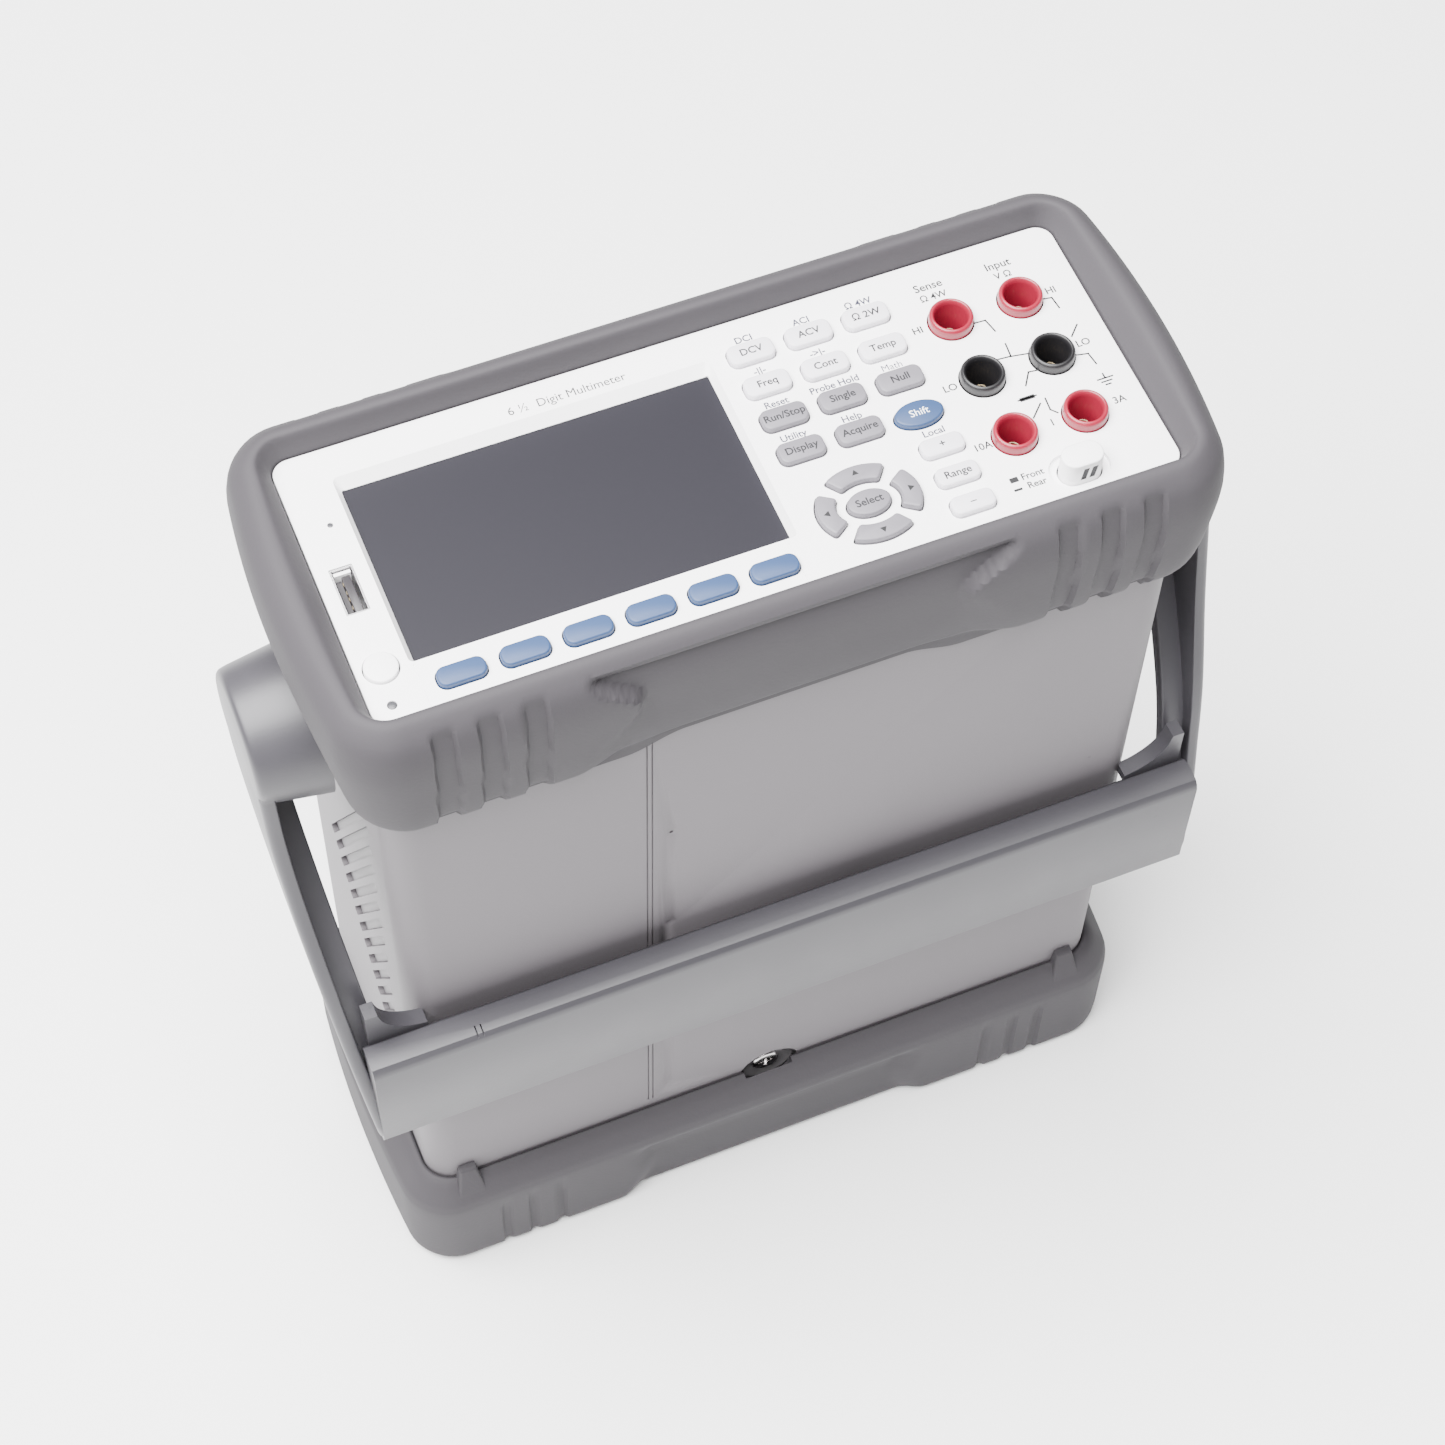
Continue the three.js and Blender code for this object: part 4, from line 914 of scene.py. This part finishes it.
light_pipe = finish("light_pipe", (0.05, 0.05, 0.056), roughness=0.3, drift=0.05)
power_light = rod(1.15, 3, "z", *POWER_LIGHT, -1.6, 24, edge=0.3)
add_piece("power_light", power_light, light_pipe, "case")
sensor_light = rod(0.68, 3, "z", *SENSOR_LIGHT, -1.62, 20, edge=0.2)
add_piece("sensor_light", sensor_light, light_pipe, "case")

# ---------------------------------------------------------------------------------------------------
# Display. A smoked flat lens held behind the sunk window.
# ---------------------------------------------------------------------------------------------------
lens_grey = finish(
    "lens_grey", (0.010, 0.0092, 0.0132), roughness=0.42, drift=0.05, drift_size=14, grain_size=900,
    grain_depth=0.000003, spread=0.04, specular=0.2
)
left, bottom, right, top = WINDOW
lens = block((left - 1.6, bottom - 1.6, -WINDOW_DEPTH - 1.5), (right + 1.6, top + 1.6, -WINDOW_DEPTH - 0.25))
add_piece("display_lens", lens, lens_grey, "case", ["display_window"])

# ---------------------------------------------------------------------------------------------------
# Keys. Silicone keypad caps in white, grey and blue with softly rounded tops. Each slides in its own
# hole, and all but the soft keys carry a printed word or arrow. The round power button is blank panel
# plastic.
# ---------------------------------------------------------------------------------------------------
cap_finishes = {
    "white": finish("key_white", (0.66, 0.64, 0.68), roughness=0.5, drift=0.02, grain_depth=0.00001),
    "grey": finish("key_grey", (0.150, 0.141, 0.160), roughness=0.5, drift=0.03, grain_depth=0.00001),
    "blue": finish("key_blue", (0.019, 0.046, 0.120), roughness=0.5, drift=0.05, grain_depth=0.00001),
    "panel": panel_white,
}
grey_print = finish("grey_print", (0.005, 0.005, 0.0065), roughness=0.6, drift=0.05, grain_depth=0.000002)
dark_print = finish("dark_print", (0.003, 0.003, 0.004), roughness=0.6, drift=0.05, grain_depth=0.000002)
lilac_print = finish("lilac_print", (0.020, 0.020, 0.042), roughness=0.6, drift=0.05, grain_depth=0.000002)
white_print = finish("white_print", (0.85, 0.87, 0.9), roughness=0.6, drift=0.02, grain_depth=0.000002)
PRINT_THICK = 0.03
CAP_SHARE, LETTER_SWELL = 0.72, 0.05  # capitals over letter size, and how far outlines are thickened


def words(text, x, y, height, z):
    """Printed lettering as a thin closed solid lying on the surface at z. Texts with a capital M, and the
    shift key's word, are not thickened."""
    curve = bpy.data.curves.new("words", "FONT")
    curve.body = text
    curve.size = height / CAP_SHARE
    curve.align_x = "CENTER"
    curve.align_y = "CENTER"
    curve.extrude = PRINT_THICK / 2
    curve.offset = 0.0 if "M" in text or text == "Shift" else LETTER_SWELL
    curve.resolution_u = 3
    holder = bpy.data.objects.new("words", curve)
    bpy.context.collection.objects.link(holder)
    mesh = bpy.data.meshes.new_from_object(holder.evaluated_get(bpy.context.evaluated_depsgraph_get()))
    drawing = bmesh.new()
    drawing.from_mesh(mesh)
    bmesh.ops.translate(drawing, vec=(x, y, z + PRINT_THICK / 2), verts=drawing.verts)
    bpy.data.objects.remove(holder)
    bpy.data.curves.remove(curve)
    bpy.data.meshes.remove(mesh)
    return drawing


def arrow(x, y, angle, size, z):
    drawing = bmesh.new()
    bmesh.ops.create_cone(drawing, cap_ends=True, segments=3, radius1=size, radius2=size, depth=PRINT_THICK)
    turn = Matrix.Translation((x, y, z + PRINT_THICK / 2)) @ Matrix.Rotation(math.radians(angle - 90), 4, "Z")
    bmesh.ops.transform(drawing, matrix=turn, verts=drawing.verts)
    return drawing


for name, shape, colour, word, second, (x, y) in KEYS:
    stand = 0.9 if name == "power_button" else KEY_STAND
    cap = shape(0, CAP_BOTTOM, stand)
    round_top(cap, 0.35 if name == "power_button" else 0.6)
    add_piece(name + "_cap", cap, cap_finishes[colour], name, [name])
    if word:
        print_finish = white_print if name == "key_shift" else grey_print
        print_face = words(word, x, y, 2.1, stand)
        add_piece(name + "_print", print_face, print_finish, name)
    if name.startswith("key_cursor"):
        angle = {"right": 0, "up": 90, "left": 180, "down": 270}[name.rsplit("_", 1)[1]]
        turn = math.radians(angle)
        mark = arrow(PAD_X + 10.9 * math.cos(turn), PAD_Y + 8.8 * math.sin(turn), angle, 1.0, stand)
        add_piece(name + "_print", mark, dark_print, name)

# ---------------------------------------------------------------------------------------------------
# Panel print. Thin screen printed words and wiring lines: near black for the title and the jacks, dark
# lilac for each key's second function.
# ---------------------------------------------------------------------------------------------------
def line(points, width=0.45):
    """A printed line through the points."""
    strokes = []
    for (x0, y0), (x1, y1) in zip(points, points[1:]):
        length = math.hypot(x1 - x0, y1 - y0)
        stroke = block((-width / 2, -width / 2, 0), (length + width / 2, width / 2, PRINT_THICK))
        place = Matrix.Translation((x0, y0, 0)) @ Matrix.Rotation(math.atan2(y1 - y0, x1 - x0), 4, "Z")
        bmesh.ops.transform(stroke, matrix=place, verts=stroke.verts)
        strokes.append(stroke)
    return gather(*strokes)


seconds = [words(second, x, y + 5.0, 2.0, 0) for _, _, _, _, second, (x, y) in KEYS if second]
add_piece("second_function_print", gather(*seconds), lilac_print, "case")
title = words("6 ½  Digit Multimeter", -29, 34.0, 2.5, 0)
add_piece("title_print", title, dark_print, "case")

jack_words = [
    words(word, x, y, height, 0)
    for word, x, y, height in (
        ("Sense", 67.5, 32.5, 2.4), ("Ω 4W", 67.5, 29.0, 2.0),
        ("Input", 86.7, 32.4, 2.4), ("V Ω", 86.7, 28.9, 2.0),
        ("HI", 59.4, 20.4, 2.1), ("HI", 95.8, 20.0, 2.1),
        ("LO", 59.6, 1.1, 2.1), ("LO", 96.3, 2.0, 2.1),
        ("10A", 59.6, -18.1, 2.1), ("3A", 97.0, -17.3, 2.1),
        ("I", 78.6, -17.7, 2.1), ("Front", 67.4, -30.0, 1.9), ("Rear", 67.4, -32.8, 1.9),
    )
]
jack_lines = [
    line(points)
    for points in (
        ((73.3, 17.5), (76.5, 17.3), (77.4, 13.3)), ((73.6, 5.0), (77.3, 4.7), (81.9, 3.9)),
        ((77.7, 4.6), (78.1, 8.7)), ((92.7, 18.2), (95.1, 17.8), (95.5, 14.2)),
        ((97.3, 7.7), (94.5, 4.8)), ((93.2, -1.0), (96.0, -1.6), (96.5, -5.2)),
        ((96.6, -8.6), (96.6, -10.0)), ((94.6, -10.0), (98.6, -10.0)),
        ((95.3, -11.0), (97.9, -11.0)), ((96.0, -12.0), (97.2, -12.0)),
        ((83.7, -1.9), (79.7, -1.4), (77.3, -5.0)), ((73.6, -8.6), (78.4, -8.6)),
        ((74.9, -14.7), (78.3, -11.3)), ((81.1, -15.4), (79.8, -13.9), (80.1, -10.3)),
    )
]
jack_lines.append(line(((74.6, -8.6), (77.4, -8.6)), 1.2))
switch_marks = [
    oblong(2.2, 1.5, 0.2, 62.5, -30.0, 0, PRINT_THICK),
    oblong(2.2, 0.7, 0.2, 62.3, -33.0, 0, PRINT_THICK),
]
add_piece("jack_print", gather(*jack_words, *jack_lines, *switch_marks), grey_print, "case")

# ---------------------------------------------------------------------------------------------------
# Front and rear input switch. A tall white push-push cap in an oval recess, with two dark slanted marks
# on its near side.
# ---------------------------------------------------------------------------------------------------
SWITCH_STAND = 6.0
switch_cap = oblong(10.8, 6.9, 3.3, SWITCH_X, SWITCH_Y, -7.5, SWITCH_STAND, steps=10)
round_top(switch_cap, 0.5)
add_piece("input_switch_cap", switch_cap, panel_white, "input_switch", ["input_switch_button"])
marks = []
for x in (SWITCH_X - 0.6, SWITCH_X + 1.7):
    mark = bmesh.new()
    slant = ((-0.9, 0.2), (0.5, 0.2), (1.1, 4.2), (-0.3, 4.2))
    face = mark.faces.new([mark.verts.new((x + dx, SWITCH_Y - 3.48, z)) for dx, z in slant])
    thicken(mark, [face], (0, 0.3, 0))
    marks.append(mark)
add_piece("input_switch_marks", gather(*marks), dark_print, "input_switch")

# ---------------------------------------------------------------------------------------------------
# Input jacks. Recessed 4 mm safety sockets turned in red or black plastic, each with a plated contact
# sleeve at the bottom of its bore.
# ---------------------------------------------------------------------------------------------------
JACK_DEPTH, JACK_STAND, JACK_RADIUS, JACK_BORE = 19.0, 3.0, 5.7, 4.1
jack_finishes = {
    "red": finish(
        "jack_red", (0.22, 0.010, 0.026), roughness=0.3, drift=0.05, grain_depth=0.000005, specular=0.5
    ),
    "black": finish(
        "jack_black", (0.006, 0.0055, 0.0065), roughness=0.45, drift=0.05, grain_depth=0.000005, specular=0.5
    ),
}
contact_brass = finish("contact_brass", (0.42, 0.34, 0.22), roughness=0.35, drift=0.1, metallic=1.0)


def turned(profile, x, y, sides=64):
    """A closed turned shape from (radius, z) points, spun about an upright axis."""
    drawing = bmesh.new()
    points = [drawing.verts.new((radius, 0, z)) for radius, z in profile]
    edges = [drawing.edges.new(pair) for pair in zip(points, points[1:])]
    if profile[0][0] > 0:
        edges.append(drawing.edges.new((points[-1], points[0])))
    spin_closed(drawing, points + edges, (0, 0, 1), sides)
    bmesh.ops.translate(drawing, vec=(x, y, 0), verts=drawing.verts)
    return drawing


jack_profile = [(0, -JACK_DEPTH), (4.7, -JACK_DEPTH), (4.7, -1.2), (JACK_RADIUS, -1.2)] + blend_rows(
    [
        (JACK_RADIUS, 1.6),
        (JACK_RADIUS - 0.15, 2.5),
        (JACK_RADIUS - 0.75, JACK_STAND),
        (JACK_BORE + 0.35, JACK_STAND - 0.35),
        (JACK_BORE, JACK_STAND - 1.3)
    ], 3
) + [(JACK_BORE, -JACK_DEPTH + 2), (0, -JACK_DEPTH + 2)]
contact_profile = [
    (1.35, -JACK_DEPTH + 2.1), (2.0, -JACK_DEPTH + 2.1), (2.0, -5.0), (1.8, -4.7), (1.5, -4.7), (1.35, -5.0)
]
for name, column, row, colour in JACKS:
    x, y = jack_place(column, row)
    add_piece(
        name + "_body", turned(jack_profile, x, y), jack_finishes[colour], "case", [name]
    )
    add_piece(name + "_contact", turned(contact_profile, x, y, 32), contact_brass, "case")

# ---------------------------------------------------------------------------------------------------
# USB host socket. A folded steel shell standing on edge in the panel, with a black tongue and contacts
# inside, a black block of painted shade in the hollow beside it and a white stop at its upper end.
# ---------------------------------------------------------------------------------------------------
shell_steel = finish("shell_steel", (0.6, 0.59, 0.6), roughness=0.3, drift=0.06, metallic=1.0)
socket_black_and_shade = finish("socket_black_and_shade", (0.025, 0.022, 0.025), roughness=0.4, drift=0.05)
for node in ("usb_host_port", "network_usb_block"):
    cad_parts[node].material_slots[0].material = shell_steel
tongue = block((USB_X - 0.4, USB_Y - 5.6, -8.6), (USB_X + 1.7, USB_Y + 5.2, -1.6), 0.2, 0.2)
add_piece("usb_tongue", tongue, socket_black_and_shade, "case")
# Painted shade: this black block fills the socket's hollow beside the tongue.
socket_shade_block = block((USB_X - 1.9, USB_Y - 5.7, -8.4), (USB_X - 0.6, USB_Y + 5.0, -3.0))
add_piece("usb_painted_shade", socket_shade_block, socket_black_and_shade, "case")
stop = block((USB_X - 2.1, USB_Y + 5.3, -6), (USB_X + 2.1, USB_Y + 6.2, -0.9), 0.1)
add_piece("usb_stop", stop, panel_white, "case")
contacts = [
    block((USB_X - 0.52, USB_Y + dy - 0.5, -8), (USB_X - 0.42, USB_Y + dy + 0.5, -2.4))
    for dy in (-3.5, -1.0, 1.0, 3.5)
]
add_piece("usb_contacts", gather(*contacts), contact_brass, "case")

# ---------------------------------------------------------------------------------------------------
# Works. These parts, inside and on the rear panel, keep their modelled shapes and get finishes of their
# own.
# ---------------------------------------------------------------------------------------------------
board_green = finish(
    "board_green", (0.03, 0.16, 0.07), roughness=0.4, drift=0.2, drift_size=120, grain_size=400
)
tray_steel = finish("tray_steel", (0.6, 0.6, 0.6), roughness=0.4, drift=0.06, metallic=0.9)
fan_black = finish("fan_black", (0.03, 0.03, 0.032), roughness=0.5, drift=0.08)
core_varnish = finish("core_varnish", (0.12, 0.10, 0.09), roughness=0.45, drift=0.2, drift_size=90)
keypad_silicone = finish("keypad_silicone", (0.5, 0.5, 0.52), roughness=0.7)
rear_black = finish("rear_black", (0.03, 0.03, 0.033), roughness=0.45, drift=0.06)
node_finishes = (
    (board_green, ("front_board", "main_board")),
    (tray_steel, ("chassis_tray", "rear_panel")),
    (core_varnish, ("transformer",)),
    (keypad_silicone, ("keypad_mat",)),
    (fan_black, ("display_module", "fan_frame", "fan_rotor", "input_switch_rod")),
    (rear_black, ("power_inlet", "rear_jack_block", "current_fuse_cap")),
    (contact_brass, ("bnc_trigger_in", "bnc_meter_complete")),
)
for material, nodes in node_finishes:
    for node in nodes:
        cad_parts[node].material_slots[0].material = material
